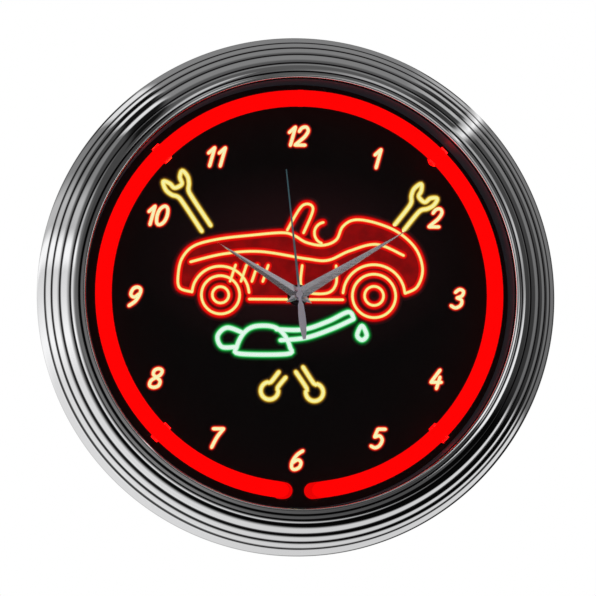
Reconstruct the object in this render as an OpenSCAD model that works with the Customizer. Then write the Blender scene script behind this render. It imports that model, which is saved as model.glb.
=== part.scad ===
// A round service station wall clock: a ribbed chrome rim and a flat glass over a black dial,
// a neon ring around the numerals, and a quartz movement that drives three hands.
// Each module draws with x to the right, y up to 12 o'clock and z out of the wall towards the
// viewer. on_wall() then stands the clock up, with +Z at 12 and the face towards -Y.

/* [Case] */
// Diameter across the widest edge of the chrome rim
case_d = 381; // [375:1:390]
// Height of the black dial's front face above the wall
dial_front = 39; // [39:0.5:41]
// Thickness of the hardboard dial
dial_t = 3; // [2.5:0.5:3]
// Wall thickness of the moulded back cover
cover_t = 2.5; // [2:0.1:3]
// Thickness of the spun metal rim
rim_t = 1; // [0.8:0.1:1.2]
// Thickness of the flat glass
glass_t = 2.5; // [2:0.5:3]

/* [Neon tube] */
// Radius from the dial's centre to the middle of the tube
ring_r = 143; // [142:0.5:144]
// Outer diameter of the glass tube
tube_d = 12; // [10:0.5:13]
// Wall thickness of the glass tube
tube_wall = 1; // [0.8:0.1:1.2]
// Height of the ring's middle above the wall
ring_z = 57; // [56:0.5:59]
// Angle from 6 o'clock at which each end of the ring turns back through the dial
end_angle = 8; // [7.5:0.5:9]
// Radius of the bends where the ends turn back through the dial
bend_r = 9; // [8:0.5:10]

/* [Hands] */
// Length of the hour hand, from the centre to its tip
hour_len = 72; // [60:1:80]
// Length of the minute hand, from the centre to its tip
minute_len = 95.5; // [85:0.5:105]
// Length of the second hand, from the centre to its tip
second_len = 92; // [85:1:105]
// Direction of the hour hand, clockwise from 12
hour_angle = 302.5; // [0:0.5:360]
// Direction of the minute hand, clockwise from 12
minute_angle = 59; // [0:0.5:360]
// Direction of the second hand, clockwise from 12
second_angle = 353.9; // [0:0.1:360]
// Widest part of the hour and minute hands
hand_w = 8.6; // [6:0.1:10]

/* [Movement] */
// Width and height of the square quartz movement
movement_w = 56; // [56:0.5:58]
// Diameter of the threaded bush that holds the movement on the dial
bush_d = 8; // [8:0.1:8.4]

/* [Mounts] */
// Radius of the keyhole's round entry in the hanger plate
keyhole_r = 4.5; // [4.2:0.1:4.8]
// Radius of the keyhole's slot, for the wall screw's shank
keyhole_slot_r = 2.2; // [2:0.1:2.3]
// Height of the keyhole's entry above the clock's centre
keyhole_y = 112; // [108:1:116]
// Radius of the centre pin in the low-voltage inlet
inlet_pin_r = 1.05; // [1:0.05:1.25]

/* [Hidden] */
$fn = 96;
e = 0.01;

// Case radii and heights
case_r = case_d / 2;
flange_z = 28.5;
widest_z = 32;
opening_r = case_r - 34.2;
pan_r = case_r - 18;
flange_t = 2.5;
rim_flange_t = 1.2;
rim_screw_r = case_r - 9.5;
rim_screw_count = 8;
// Grooves of the rim from its widest edge inwards, as how far in and how far forward
GROOVES = [[0, 0], [5.4, 16], [10.2, 23], [16, 30], [23.3, 38], [29.9, 41]];
RIB_BULGE = [2.2, 1.1, 1.2, 1.35, 0.85];
lip_z = widest_z + 42;
gasket_back = 68;
gasket_front = 72;
gasket_r = opening_r + 4;
glass_r = gasket_r - 1.3;
glass_back = 69;
liner_r = opening_r - 0.8;
liner_t = 2;
dial_r = opening_r + 12;
dial_back = dial_front - dial_t;
liner_flange_t = 1.5;
DIAL_SCREWS = [20, 80, 130, 230, 280, 340];
dial_screw_r = opening_r + 6.7;
boss_r = 5;
pad_y = pan_r - 1;
pad_t = 3.5;
pad_top = 24.5;

// Neon tube
tube_r = tube_d / 2;
splice_angle = 0.2;
electrode_z = 24;
electrode_run = 34;
boot_r = tube_r + 1.6;
boot_grip = 14;
boot_len = 24;
CLIP_ANGLES = [45, 135, 225, 315];

// Supply box
box_x = 50;
box_bottom = -116;
box_top = -64;
box_front = 24;
box_t = 1.6;
board_z = 8;
ear_w = 9;
EARS = [[1, -108], [1, -72], [-1, -108], [-1, -72]];

// Inlet and switch
inlet_z = 12;
inlet_bore_r = 2.8;
inlet_thread_r = 5.5;
inlet_depth = 15;
inlet_tail_r = 0.8;
switch_angle = 245;
switch_z = 13;
switch_tilt = -10;
rocker_pivot_y = pad_y - 1;

// Movement: heights of the wheels, from the back wall of its case to the front
case_back = 19;
case_join = 27;
case_front = 35;
wall = 1.2;
half = movement_w / 2;
inner = half - wall;
fifth_z = 21.8;
second_z = 23.1;
third_z = 24.5;
plate_z = 26.2;
minute_z = 28.1;
works_z = 29.8;
hour_z = 31.5;
wheel_t = 0.8;
arbor_r = 0.5;
hole_r = 0.56;
minute_pipe_r = 1.4;
hour_pipe_r = 2.5;
bush_bore_r = 2.58;
bush_r = bush_d / 2;
bush_top = dial_front + 3.8;

// Gear train: tooth sizes, then where each arbor stands
train_m = 0.3;
third_m = 10.2 * 2 / (8 + 64);
hour_m = 7.2 * 2 / (10 + 40);
fifth_dir = 150;
rotor_dir = 100;
third_dir = 35;
works_dir = -30;
fifth_at = polar(train_m * (10 + 50) / 2, fifth_dir);
rotor_at = fifth_at + polar(train_m * (8 + 48) / 2, rotor_dir);
third_at = polar(train_m * (8 + 60) / 2, third_dir);
works_at = polar(train_m * (12 + 36) / 2, works_dir);
setting_at = works_at + polar(train_m * (12 + 36) / 2, works_dir);
magnet_r = 2.9;
stator_hole_r = 3.3;
stator_z = 24;
coil_y = 22.5;
coil_x = 13.3;

// Battery bay
cell_r = 7.25;
cell_len = 50.5;
cell_y = -19.3;
cell_z = 26.6;
bay_wall_y = -11.7;
bay_wall_t = 0.8;
bay_wall_left = -25.8;
bay_wall_right = 24.9;

// Hands
hour_hand_z = 44;
minute_hand_z = 47;
second_hand_z = 50.4;
ridge_w = 0.24;

// Routes of the leads, by hand
HIGH_ROUTE = [[63.6, -135.4, 24], [72, -134.2, 24], [80, -130, 23], [84, -122, 20],
    [82, -112, 17], [74, -103, 15], [62, -98.5, 14], [50.2, -98, 14]];
INLET_ROUTE = [[2.2, -153.9, 12], [5, -144, 10], [8, -134, 9], [8, -124, 9], [8, -116.2, 9]];
SWITCH_ROUTE = [[-2.2, -153.9, 12], [-7, -147, 9], [-30, -137, 7], [-60, -122, 6],
    [-95, -104, 6], [-118, -84, 8], [-131, -68, 11], [-140.8, -69.5, 13]];
RETURN_ROUTE = [[-143.8, -63.2, 13], [-133, -57.5, 11], [-112, -60, 8], [-85, -71, 7],
    [-65, -82, 8], [-50.2, -86, 9]];
high_lead_r = 1.8;
low_lead_r = 1.1;

function polar(r, a) = [r * cos(a), r * sin(a)];
function clock(r, a) = [r * sin(a), r * cos(a)];
function unit(v) = v / norm(v);
function last(list) = list[len(list) - 1];

// Points on the arc from a to b that bulges to the right of the way from a to b, without b
function bulge(a, b, rise, n) =
    let (chord = norm(b - a), r = (chord * chord / 4 + rise * rise) / (2 * rise),
        way = (b - a) / chord, out = [way[1], -way[0]],
        c = (a + b) / 2 - out * (r - rise), half_angle = asin(chord / 2 / r))
    [for (i = [0 : n - 1])
        let (t = -half_angle + 2 * half_angle * i / n)
        c + way * r * sin(t) + out * r * cos(t)];

// A smooth curve through the points p, k steps between each pair
function at_end(p, i) = p[max(0, min(len(p) - 1, i))];
function curve_point(p, i, t) =
    let (a = at_end(p, i - 1), b = p[i], c = p[i + 1], d = at_end(p, i + 2))
    (2 * b + (c - a) * t + (2 * a - 5 * b + 4 * c - d) * t * t + (3 * b - a - 3 * c + d) * t * t * t) / 2;
function smooth_route(p, k) =
    concat([for (i = [0 : len(p) - 2]) for (s = [0 : k - 1]) curve_point(p, i, s / k)], [last(p)]);

// Tooth corners of a gear as [part of the pitch, radius]; tooth 0 points along phase
function gear_outline(teeth, m, phase) =
    let (pitch_r = teeth * m / 2, root_r = pitch_r - 1.2 * m, tip_r = pitch_r + 0.8 * m)
    [for (i = [0 : teeth - 1])
        for (corner = [[-0.24, root_r], [-0.09, tip_r], [0.09, tip_r], [0.24, root_r]])
        polar(corner[1], phase + (i + corner[0]) * 360 / teeth)];

module on_wall() {
    rotate([90, 0, 0])
    children();
}

// A wheel or pinion: tooth 0 points along phase
module gear(teeth, m, h, phase) {
    linear_extrude(h)
    polygon(gear_outline(teeth, m, phase));
}

module ring(outer, inner_radius, h) {
    difference() {
        cylinder(r = outer, h = h);
        translate([0, 0, -e]) cylinder(r = inner_radius, h = h + 2 * e);
    }
}

// A ring turned about the clock's axis, from its section
module turned(section) {
    rotate_extrude()
    polygon(section);
}

// A block given by its lowest and highest corners
module block(low, high) {
    translate(low)
    cube(high - low);
}

module rounded_block(w, h, depth, corner) {
    linear_extrude(depth)
    offset(corner, $fn = 24)
    square([w - 2 * corner, h - 2 * corner], center = true);
}

// A pan-head screw with a cross recess: its head stands on z = 0 and its shank points to -z
module screw(head_r, shank_r, length) {
    head_h = head_r * 0.62;
    difference() {
        union() {
            cylinder(r = head_r, h = head_h * 0.5);
            translate([0, 0, head_h * 0.5]) cylinder(r1 = head_r, r2 = head_r * 0.66, h = head_h * 0.5);
            translate([0, 0, -length]) cylinder(r = shank_r, h = length + e);
        }
        for (turn = [0, 90])
            rotate([0, 0, turn])
            translate([-head_r * 0.55, -head_r * 0.11, head_h * 0.45])
            cube([head_r * 1.1, head_r * 0.22, head_h]);
    }
}

// Puts children on the flat pad of the cover's side wall, with +y outwards
module at_pad(angle) {
    rotate([0, 0, -angle])
    children();
}

// A tube of eight sides swept along a smooth route
module lead(route, r) {
    sides = 8;
    path = smooth_route(route, 3);
    count = len(path);
    rings = [for (i = [0 : count - 1])
        let (way = unit(path[min(count - 1, i + 1)] - path[max(0, i - 1)]),
            side = unit(cross(way, [0, 0, 1])), up = cross(side, way))
        for (s = [0 : sides - 1])
            path[i] + r * (side * cos(s * 360 / sides) + up * sin(s * 360 / sides))];
    skin = [for (i = [0 : count - 2]) for (s = [0 : sides - 1])
        let (a = i * sides + s, b = i * sides + (s + 1) % sides)
        each [[a, b, b + sides], [a, b + sides, a + sides]]];
    first_cap = [for (s = [1 : sides - 2]) [0, s + 1, s]];
    base = (count - 1) * sides;
    last_cap = [for (s = [1 : sides - 2]) [base, base + s, base + s + 1]];
    polyhedron(points = rings, faces = [for (f = concat(skin, first_cap, last_cap)) [f[0], f[2], f[1]]]);
}

// ---- Case ----

// Spun and chromed rim: five convex ribs, a turned-in lip in front and a flat flange behind
module chrome_rim() {
    knots = [for (g = GROOVES) [case_r - g[0], widest_z + g[1]]];
    ribs = [for (i = [0 : len(knots) - 2]) each bulge(knots[i], knots[i + 1], RIB_BULGE[i], 8)];
    middles = [for (i = [len(knots) - 2 : -1 : 0])
        let (way = unit(knots[i + 1] - knots[i]), out = [way[1], -way[0]])
        (knots[i] + knots[i + 1]) / 2 + out * (RIB_BULGE[i] - rim_t)];
    outside = concat([[case_r - 13, flange_z], [case_r - 1.2, flange_z], [case_r - 0.2, flange_z + 1.2]],
        ribs, [last(knots)],
        [[opening_r + 1, lip_z - 0.2], [opening_r + 0.3, lip_z], [opening_r, lip_z - 0.6]]);
    inside = concat([[opening_r, gasket_front], [opening_r + 1, gasket_front],
        [opening_r + 1.2, lip_z - 1.3], last(knots) - [0, rim_t]], middles,
        [[case_r - rim_t - 0.6, flange_z + 2.4], [case_r - 2.4, flange_z + rim_flange_t],
        [case_r - 13, flange_z + rim_flange_t]]);
    color("silver") on_wall()
    difference() {
        turned(concat(outside, inside));
        for (i = [0 : rim_screw_count - 1])
            rotate([0, 0, (i + 0.5) * 360 / rim_screw_count])
            translate([rim_screw_r, 0, flange_z - 1])
            cylinder(r = 1.45, h = 4);
    }
}

// Rubber channel that holds the edge of the glass
module lens_gasket() {
    color("black") on_wall()
    turned([[opening_r - 0.4, gasket_back], [gasket_r, gasket_back], [gasket_r, gasket_front],
        [opening_r, gasket_front], [opening_r, glass_back + glass_t], [glass_r, glass_back + glass_t],
        [glass_r, glass_back], [opening_r - 0.4, glass_back]]);
}

module glass_lens() {
    color("lightblue", 0.25) on_wall()
    translate([0, 0, glass_back])
    cylinder(r = glass_r, h = glass_t);
}

// Black wall between the dial and the glass, with a flange that the dial's screws hold
module dial_liner() {
    color([0.12, 0.1, 0.12]) on_wall()
    difference() {
        turned([[liner_r, dial_front], [dial_r, dial_front], [dial_r, dial_front + liner_flange_t],
            [liner_r + liner_t, dial_front + liner_flange_t], [liner_r + liner_t, gasket_back],
            [liner_r, gasket_back]]);
        for (a = DIAL_SCREWS)
            translate(concat(clock(dial_screw_r, a), dial_front - 1))
            cylinder(r = 1.9, h = liner_flange_t + 2);
    }
}

// Round hardboard dial: holes for the bush, the tube's ends, its clips and the six screws
module dial_board() {
    color([0.05, 0.04, 0.06]) on_wall()
    difference() {
        translate([0, 0, dial_back]) cylinder(r = dial_r, h = dial_t);
        translate([0, 0, dial_back - 1]) cylinder(r = bush_r + 0.1, h = dial_t + 2);
        tube_ends() translate([-bend_r, 0, dial_back - 1]) cylinder(r = tube_r + 1.5, h = dial_t + 2);
        for (a = DIAL_SCREWS)
            translate(concat(clock(dial_screw_r, a), dial_back - 1))
            cylinder(r = 1.9, h = dial_t + 2);
        for (a = CLIP_ANGLES)
            translate(concat(clock(ring_r, a), dial_back - 1))
            cylinder(r = 1.6, h = dial_t + 2);
    }
}

module dial_screws() {
    color("dimgray") on_wall()
    for (a = DIAL_SCREWS)
        translate(concat(clock(dial_screw_r, a), dial_front + liner_flange_t))
        screw(3.2, 1.4, 14);
}

// Moulded pan: it carries the dial's bosses, the rim's flange, the inlet and the switch
module back_cover() {
    color([0.1, 0.1, 0.11]) on_wall()
    difference() {
        union() {
            turned([[0, 0], [pan_r - 2, 0], [pan_r, 2], [pan_r, flange_z - flange_t],
                [case_r - 1.5, flange_z - flange_t], [case_r - 1.5, flange_z],
                [pan_r - cover_t, flange_z], [pan_r - cover_t, cover_t], [0, cover_t]]);
            for (a = DIAL_SCREWS)
                translate(clock(dial_screw_r, a)) cylinder(r = boss_r, h = dial_back);
            for (a = [180, switch_angle])
                at_pad(a) block([-16, pad_y - pad_t, 1], [16, pad_y + 0.5, pad_top + 0.5]);
        }
        for (a = [180, switch_angle])
            at_pad(a) block([-20, pad_y, -1], [20, pad_y + 5, pad_top]);
        for (a = DIAL_SCREWS)
            translate(concat(clock(dial_screw_r, a), dial_back - 12)) cylinder(r = 1.4, h = 13);
        for (i = [0 : rim_screw_count - 1])
            rotate([0, 0, (i + 0.5) * 360 / rim_screw_count])
            translate([rim_screw_r, 0, flange_z - 4])
            cylinder(r = 1.9, h = 5);
        // Window behind the movement, and the opening behind the keyhole
        translate([0, 0, -1]) rounded_block(movement_w + 6, movement_w + 6, cover_t + 2, 4);
        block([-12, keyhole_y - 8, -1], [12, keyhole_y + 16, cover_t + 1]);
        // Narrow vents above and below the movement
        for (i = [-5 : 5]) {
            block([i * 8 - 1.5, 50, -1], [i * 8 + 1.5, 78, cover_t + 1]);
            block([i * 8 - 1.5, -56, -1], [i * 8 + 1.5, -42, cover_t + 1]);
        }
        for (side = [-1, 1])
            translate([side * 22, keyhole_y + 4, -1]) cylinder(r = 2, h = cover_t + 2);
        for (ear = EARS)
            translate([ear[0] * (box_x + ear_w / 2), ear[1], -1]) cylinder(r = 1.4, h = cover_t + 2);
        at_pad(180)
            translate([0, pad_y - pad_t - 1, inlet_z]) rotate([-90, 0, 0])
                cylinder(r = inlet_thread_r + 0.1, h = pad_t + 2);
        at_pad(switch_angle)
            block([-9.6, pad_y - pad_t - 1, switch_z - 5.6], [9.6, pad_y + 1, switch_z + 5.6]);
    }
}

// Screws from behind, through the cover's flange into the rim's
module rim_screws() {
    color("silver") on_wall()
    for (i = [0 : rim_screw_count - 1])
        rotate([0, 0, (i + 0.5) * 360 / rim_screw_count])
        translate([rim_screw_r, 0, flange_z - flange_t])
        rotate([180, 0, 0])
        screw(3, 1.45, 8);
}

// Steel plate inside the cover, with the keyhole that hangs on a wall screw
module hanger_plate() {
    color("slategray") on_wall()
    translate([0, keyhole_y + 4, cover_t])
    difference() {
        rounded_block(56, 32, 1.5, 3);
        translate([0, -4, -1]) cylinder(r = keyhole_r, h = 4);
        translate([0, 8, -1]) cylinder(r = keyhole_slot_r, h = 4);
        block([-keyhole_slot_r, -4, -1], [keyhole_slot_r, 8, 3]);
        for (side = [-1, 1])
            translate([side * 22, 0, -1]) cylinder(r = 2, h = 4);
    }
}

module hanger_rivets() {
    color("silver") on_wall()
    for (side = [-1, 1])
        translate([side * 22, keyhole_y + 4, 0]) {
            cylinder(r = 2, h = cover_t + 1.5);
            translate([0, 0, cover_t + 1.5]) cylinder(r1 = 3.6, r2 = 2.4, h = 1.2);
        }
}

// ---- Neon tube ----

// Puts children at both ends of the ring, where -x points to 6 o'clock
module tube_ends() {
    for (side = [0, 1])
        mirror([side, 0, 0])
        rotate([0, 0, end_angle])
        translate([0, -ring_r, 0])
        children();
}

// A quarter bend about the y axis from the angle start
module bend(r, start) {
    rotate([90, 0, 0])
    rotate([0, 0, start])
    rotate_extrude(angle = 90)
    translate([bend_r, 0])
    circle(r);
}

// The whole run of the tube at the radius r: two half rings that a short splice of the radius
// splice joins at 12 o'clock, and straight ends that are shorter by trim
module tube_run(r, splice, trim) {
    translate([-2, ring_r, ring_z])
    rotate([0, 90, 0])
    cylinder(r = splice, h = 4);
    tube_ends() {
        translate([0, ring_r, ring_z])
            rotate([0, 0, -90])
            rotate_extrude(angle = 180 - end_angle - splice_angle)
            translate([ring_r, 0])
            circle(r);
        translate([0, 0, ring_z - bend_r]) bend(r, 90);
        translate([-bend_r, 0, electrode_z + bend_r])
            cylinder(r = r, h = ring_z - electrode_z - 2 * bend_r);
        translate([0, 0, electrode_z + bend_r]) bend(r, 180);
        translate([0, 0, electrode_z]) rotate([0, 90, 0]) cylinder(r = r, h = electrode_run - trim);
    }
}

module neon_tube() {
    color("red") on_wall()
    difference() {
        tube_run(tube_r, tube_r + 0.2, 0);
        tube_run(tube_r - tube_wall, tube_r - tube_wall - 0.1, 2);
    }
}

// Steel electrode cups inside the straight ends
module electrodes() {
    color("lightgray") on_wall()
    tube_ends()
    translate([12, 0, electrode_z])
    rotate([0, 90, 0])
    difference() {
        cylinder(r = tube_r - tube_wall - 0.6, h = 19);
        translate([0, 0, -1]) cylinder(r = tube_r - tube_wall - 1.2, h = 18);
    }
}

// Clear clips that hold the ring off the dial
module tube_clips() {
    grip = tube_r + 1.4;
    color("lightcyan", 0.6) on_wall()
    for (a = CLIP_ANGLES)
        translate(concat(clock(ring_r, a), 0))
        rotate([0, 0, -a])
        union() {
            translate([0, 0, dial_back - 1.5]) cylinder(r1 = 1.2, r2 = 2.1, h = 1.5);
            translate([0, 0, dial_back - e]) cylinder(r = 1.5, h = dial_t + 2 * e);
            translate([0, 0, dial_front]) cylinder(r = 5, h = 1.6);
            translate([0, 0, dial_front + 1.5]) cylinder(r = 2.4, h = ring_z - grip - dial_front - 1);
            translate([-3, 0, ring_z])
            rotate([0, 90, 0])
            difference() {
                cylinder(r = grip, h = 6);
                translate([0, 0, -1]) cylinder(r = tube_r + 0.05, h = 8);
                block([-grip - 1, -grip - 1, -1], [-2.5, grip + 1, 7]);
            }
        }
}

// Rubber boots over the straight ends
module electrode_boots() {
    color([0.55, 0.1, 0.08]) on_wall()
    tube_ends()
    translate([electrode_run - boot_grip, 0, electrode_z])
    rotate([0, 90, 0])
    difference() {
        union() {
            cylinder(r = boot_r, h = boot_len - 7);
            translate([0, 0, boot_len - 7]) cylinder(r1 = boot_r, r2 = 3.2, h = 7);
        }
        translate([0, 0, -e]) cylinder(r = tube_r, h = boot_grip + e);
    }
}

module high_voltage_leads() {
    color("crimson") on_wall()
    for (side = [0, 1])
        mirror([side, 0, 0])
        lead(HIGH_ROUTE, high_lead_r);
}

// ---- Supply ----

// Open box on the cover, with four ears for its screws and holes for the leads
module supply_case() {
    color([0.16, 0.16, 0.18]) on_wall()
    difference() {
        union() {
            block([-box_x, box_bottom, cover_t], [box_x, box_top, box_front]);
            for (ear = EARS)
                translate([ear[0] * (box_x + ear_w / 2), ear[1], cover_t]) {
                    cylinder(r = ear_w / 2, h = 2.5);
                    block([-ear_w / 2 - e, -ear_w / 2, 0], [ear_w / 2 + e, ear_w / 2, 2.5]);
                }
        }
        block([-box_x + box_t, box_bottom + box_t, cover_t + box_t],
            [box_x - box_t, box_top - box_t, box_front + 1]);
        for (ear = EARS)
            translate([ear[0] * (box_x + ear_w / 2), ear[1], 0]) cylinder(r = 1.9, h = 8);
        for (side = [-1, 1])
            translate([side * (box_x - 1), -98, 14]) rotate([0, 90 * side, 0])
                cylinder(r = high_lead_r, h = 3);
    }
    color([0.16, 0.16, 0.18]) on_wall()
    for (x = [-1, 1])
        for (y = [box_bottom + 5, box_top - 5])
            translate([x * (box_x - 5), y, cover_t + box_t - e])
            difference() {
                cylinder(r = 3.2, h = box_front - cover_t - box_t);
                translate([0, 0, 8]) cylinder(r = 1.2, h = 20);
            }
    color([0.16, 0.16, 0.18]) on_wall()
    for (x = [-34, 34])
        translate([x, -90, cover_t + box_t - e]) {
            cylinder(r = 2.6, h = board_z - cover_t - box_t);
            cylinder(r = 1.6, h = board_z - cover_t - box_t + 2.4);
        }
}

module supply_lid() {
    color([0.2, 0.2, 0.22]) on_wall()
    difference() {
        block([-box_x, box_bottom, box_front], [box_x, box_top, box_front + 2]);
        for (x = [-1, 1])
            for (y = [box_bottom + 5, box_top - 5])
                translate([x * (box_x - 5), y, box_front - 1]) cylinder(r = 1.5, h = 4);
        for (i = [-4 : 4])
            block([i * 7 - 1, -100, box_front - 1], [i * 7 + 1, -80, box_front + 3]);
    }
}

module supply_board() {
    color("darkgreen") on_wall()
    difference() {
        block([-box_x + 10, box_bottom + 3, board_z], [box_x - 10, box_top - 3, board_z + 1.6]);
        for (x = [-34, 34])
            translate([x, -90, board_z - 1]) cylinder(r = 1.6, h = 4);
    }
}

// Ferrite core with its winding block
module supply_transformer() {
    color("darkslategray") on_wall()
    union() {
        block([-32, -106, 9.6], [-6, -74, 12.6]);
        block([-32, -106, 19], [-6, -74, 22]);
        block([-32, -106, 9.6], [-6, -101, 22]);
        block([-32, -79, 9.6], [-6, -74, 22]);
        translate([-19, -100.8, 15.8]) rotate([-90, 0, 0]) cylinder(r = 6, h = 21.6);
    }
}

module supply_capacitors() {
    color("navy") on_wall() {
        for (y = [-104, -92, -80])
            translate([6, y, 9.6]) cylinder(r = 4, h = 11);
        block([16, -108, 9.6], [22, -92, 20]);
        block([16, -86, 9.6], [22, -72, 20]);
    }
}

module supply_screws() {
    color("silver") on_wall()
    for (ear = EARS)
        translate([ear[0] * (box_x + ear_w / 2), ear[1], cover_t + 2.5])
        screw(3, 1.4, 4.5);
}

module lid_screws() {
    color("silver") on_wall()
    for (x = [-1, 1])
        for (y = [box_bottom + 5, box_top - 5])
            translate([x * (box_x - 5), y, box_front + 2])
            screw(2.6, 1.2, 9);
}

// Low-voltage inlet: a flanged and threaded barrel in the bottom pad
module inlet_body() {
    color([0.08, 0.08, 0.08]) on_wall()
    at_pad(180)
    translate([0, pad_y + 1.6, inlet_z])
    rotate([90, 0, 0])
    difference() {
        union() {
            cylinder(r = 7, h = 1.6);
            cylinder(r = inlet_thread_r, h = inlet_depth);
            translate([0, 0, inlet_depth - e]) cylinder(r = 4.5, h = 4);
        }
        translate([0, 0, -e]) cylinder(r = inlet_bore_r, h = 10);
        translate([0, 0, 9]) cylinder(r = inlet_tail_r, h = 12);
    }
}

module inlet_pin() {
    color("gold") on_wall()
    at_pad(180)
    translate([0, pad_y + 1.6, inlet_z])
    rotate([90, 0, 0])
    union() {
        translate([0, 0, 1]) cylinder(r = inlet_pin_r, h = 9);
        translate([0, 0, 10 - e]) cylinder(r = inlet_tail_r, h = 10.5);
    }
}

module inlet_nut() {
    color("silver") on_wall()
    at_pad(180)
    translate([0, pad_y - pad_t, inlet_z])
    rotate([90, 0, 0])
    difference() {
        cylinder(r = 8, h = 2.4, $fn = 6);
        translate([0, 0, -1]) cylinder(r = inlet_thread_r, h = 5);
    }
}

module low_voltage_leads() {
    color("black") on_wall() {
        lead(INLET_ROUTE, low_lead_r);
        lead(SWITCH_ROUTE, low_lead_r);
        lead(RETURN_ROUTE, low_lead_r);
    }
}

// Switch housing in the side pad: a bezel, a body and the well that the rocker turns in
module switch_body() {
    color([0.1, 0.1, 0.1]) on_wall()
    at_pad(switch_angle)
    difference() {
        union() {
            block([-11, pad_y, switch_z - 7], [11, pad_y + 1.5, switch_z + 7]);
            block([-9.5, pad_y - 14, switch_z - 5.5], [9.5, pad_y + e, switch_z + 5.5]);
        }
        block([-8.3, pad_y - 8, switch_z - 4.4], [8.3, pad_y + 3, switch_z + 4.4]);
        translate([0, rocker_pivot_y, switch_z - 5]) cylinder(r = 0.86, h = 10);
    }
}

// Rocker: two flat faces that meet over its pivot pins
module switch_rocker() {
    color([0.7, 0.08, 0.06]) on_wall()
    at_pad(switch_angle)
    translate([0, rocker_pivot_y, switch_z])
    rotate([0, 0, switch_tilt])
    union() {
        translate([0, 0, -4.1])
        linear_extrude(8.2)
        polygon([[-7.5, 4.4], [-7.4, 0], [-6, -3.4], [6, -3.4], [7.4, 0], [7.5, 4.4], [0, 3.1]]);
        translate([0, 0, -4.9]) cylinder(r = 0.8, h = 9.8);
    }
}

// ---- Movement ----

// Front half of the movement's case, with the threaded bush and the upper bearings
module movement_front() {
    color([0.15, 0.15, 0.16]) on_wall()
    difference() {
        union() {
            difference() {
                translate([0, 0, case_join]) rounded_block(movement_w, movement_w, case_front - case_join, 3);
                block([-inner, -inner, case_join - 1], [inner, inner, case_front - 1]);
            }
            block([-inner, bay_wall_y, case_join],
                [bay_wall_right, bay_wall_y + bay_wall_t, case_front - 1 + e]);
            translate([0, 0, case_front - 1]) cylinder(r = bush_r, h = bush_top - case_front + 1);
            translate(concat(works_at, 29.4)) cylinder(r = 0.6, h = case_front - 30);
            translate(concat(third_at, 30)) cylinder(r = 1.4, h = case_front - 30.5);
            translate(concat(setting_at, 31.6)) cylinder(r = 1.4, h = case_front - 32);
        }
        translate([0, 0, case_front - 2]) cylinder(r = bush_bore_r, h = bush_top);
        translate(concat(third_at, 29)) cylinder(r = hole_r, h = 3.4);
        translate(concat(setting_at, 31)) cylinder(r = hole_r, h = 2.4);
    }
}

// Back half of the case, open behind the battery, with the lower bearings and three pillars
module movement_back() {
    color([0.13, 0.13, 0.14]) on_wall()
    difference() {
        union() {
            difference() {
                translate([0, 0, case_back]) rounded_block(movement_w, movement_w, case_join - case_back, 3);
                block([-inner, -inner, case_back + wall], [inner, inner, case_join + 1]);
            }
            block([bay_wall_left, bay_wall_y, case_back + wall - e],
                [bay_wall_right, bay_wall_y + bay_wall_t, case_join]);
            for (p = [[-14, -8], [18.5, -7.8], [19, 13.3]])
                translate(concat(p, case_back + wall - e)) cylinder(r = 1.4, h = plate_z - case_back - wall);
            for (p = [[-22.5, -5], [-22.5, 21]])
                translate(concat(p, case_back + wall - e)) cylinder(r = 1.4, h = 4.4);
            translate(concat(fifth_at, case_back + wall - e)) cylinder(r = 1.3, h = 1.3);
            translate(concat(rotor_at, case_back + wall - e)) cylinder(r = 1.3, h = 1.1);
            translate(concat(third_at, case_back + wall - e)) cylinder(r = 1.3, h = 2.2);
            translate([0, 0, case_back + wall - e]) cylinder(r = 1.3, h = 2.4);
        }
        block([-inner, -inner, case_back - 1], [inner, bay_wall_y, case_back + 2]);
        for (p = [fifth_at, rotor_at, third_at, [0, 0]])
            translate(concat(p, case_back + 0.6)) cylinder(r = hole_r, h = 6);
        translate(concat(setting_at, case_back - 1)) cylinder(r = 0.98, h = 4);
    }
}

// Plate between the fast wheels behind it and the hand wheels in front of it
module middle_plate() {
    color("ivory") on_wall()
    difference() {
        translate([0, 0, plate_z])
        linear_extrude(0.9)
        offset(1, $fn = 24)
        polygon([[-14.6, -8.9], [19.4, -8.9], [19.4, 13.9], [-8, 14], [-14.6, 14]]);
        for (p = [fifth_at, rotor_at, [0, 0]])
            translate(concat(p, plate_z - 1)) cylinder(r = hole_r, h = 3);
        translate(concat(third_at, plate_z - 1)) cylinder(r = 0.9, h = 3);
        translate(concat(setting_at, plate_z - 1)) cylinder(r = 1.2, h = 3);
    }
}

module dial_nut() {
    color("gold") on_wall()
    translate([0, 0, dial_front + 0.6])
    difference() {
        cylinder(r = 6.6, h = 2.4, $fn = 6);
        translate([0, 0, -1]) cylinder(r = bush_r, h = 5);
    }
}

module brass_washer() {
    color("gold") on_wall()
    translate([0, 0, dial_front])
    ring(8, bush_r + 0.1, 0.6);
}

module rubber_washer() {
    color("black") on_wall()
    translate([0, 0, case_front])
    ring(9, bush_r + 0.1, dial_back - case_front);
}

// Rotor: its pinion and arbor turn thirty times as fast as the second hand
module rotor_pinion() {
    color("white") on_wall()
    translate(concat(rotor_at, 0))
    union() {
        translate([0, 0, 20]) cylinder(r = arbor_r, h = 6.9);
        translate([0, 0, 21.6]) gear(8, train_m, 1.2, rotor_dir + 180);
        translate([0, 0, 22.8]) cylinder(r = 1.2, h = 0.8);
    }
}

module rotor_magnet() {
    color("dimgray") on_wall()
    translate(concat(rotor_at, 23.6))
    ring(magnet_r, arbor_r, 1.8);
}

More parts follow.
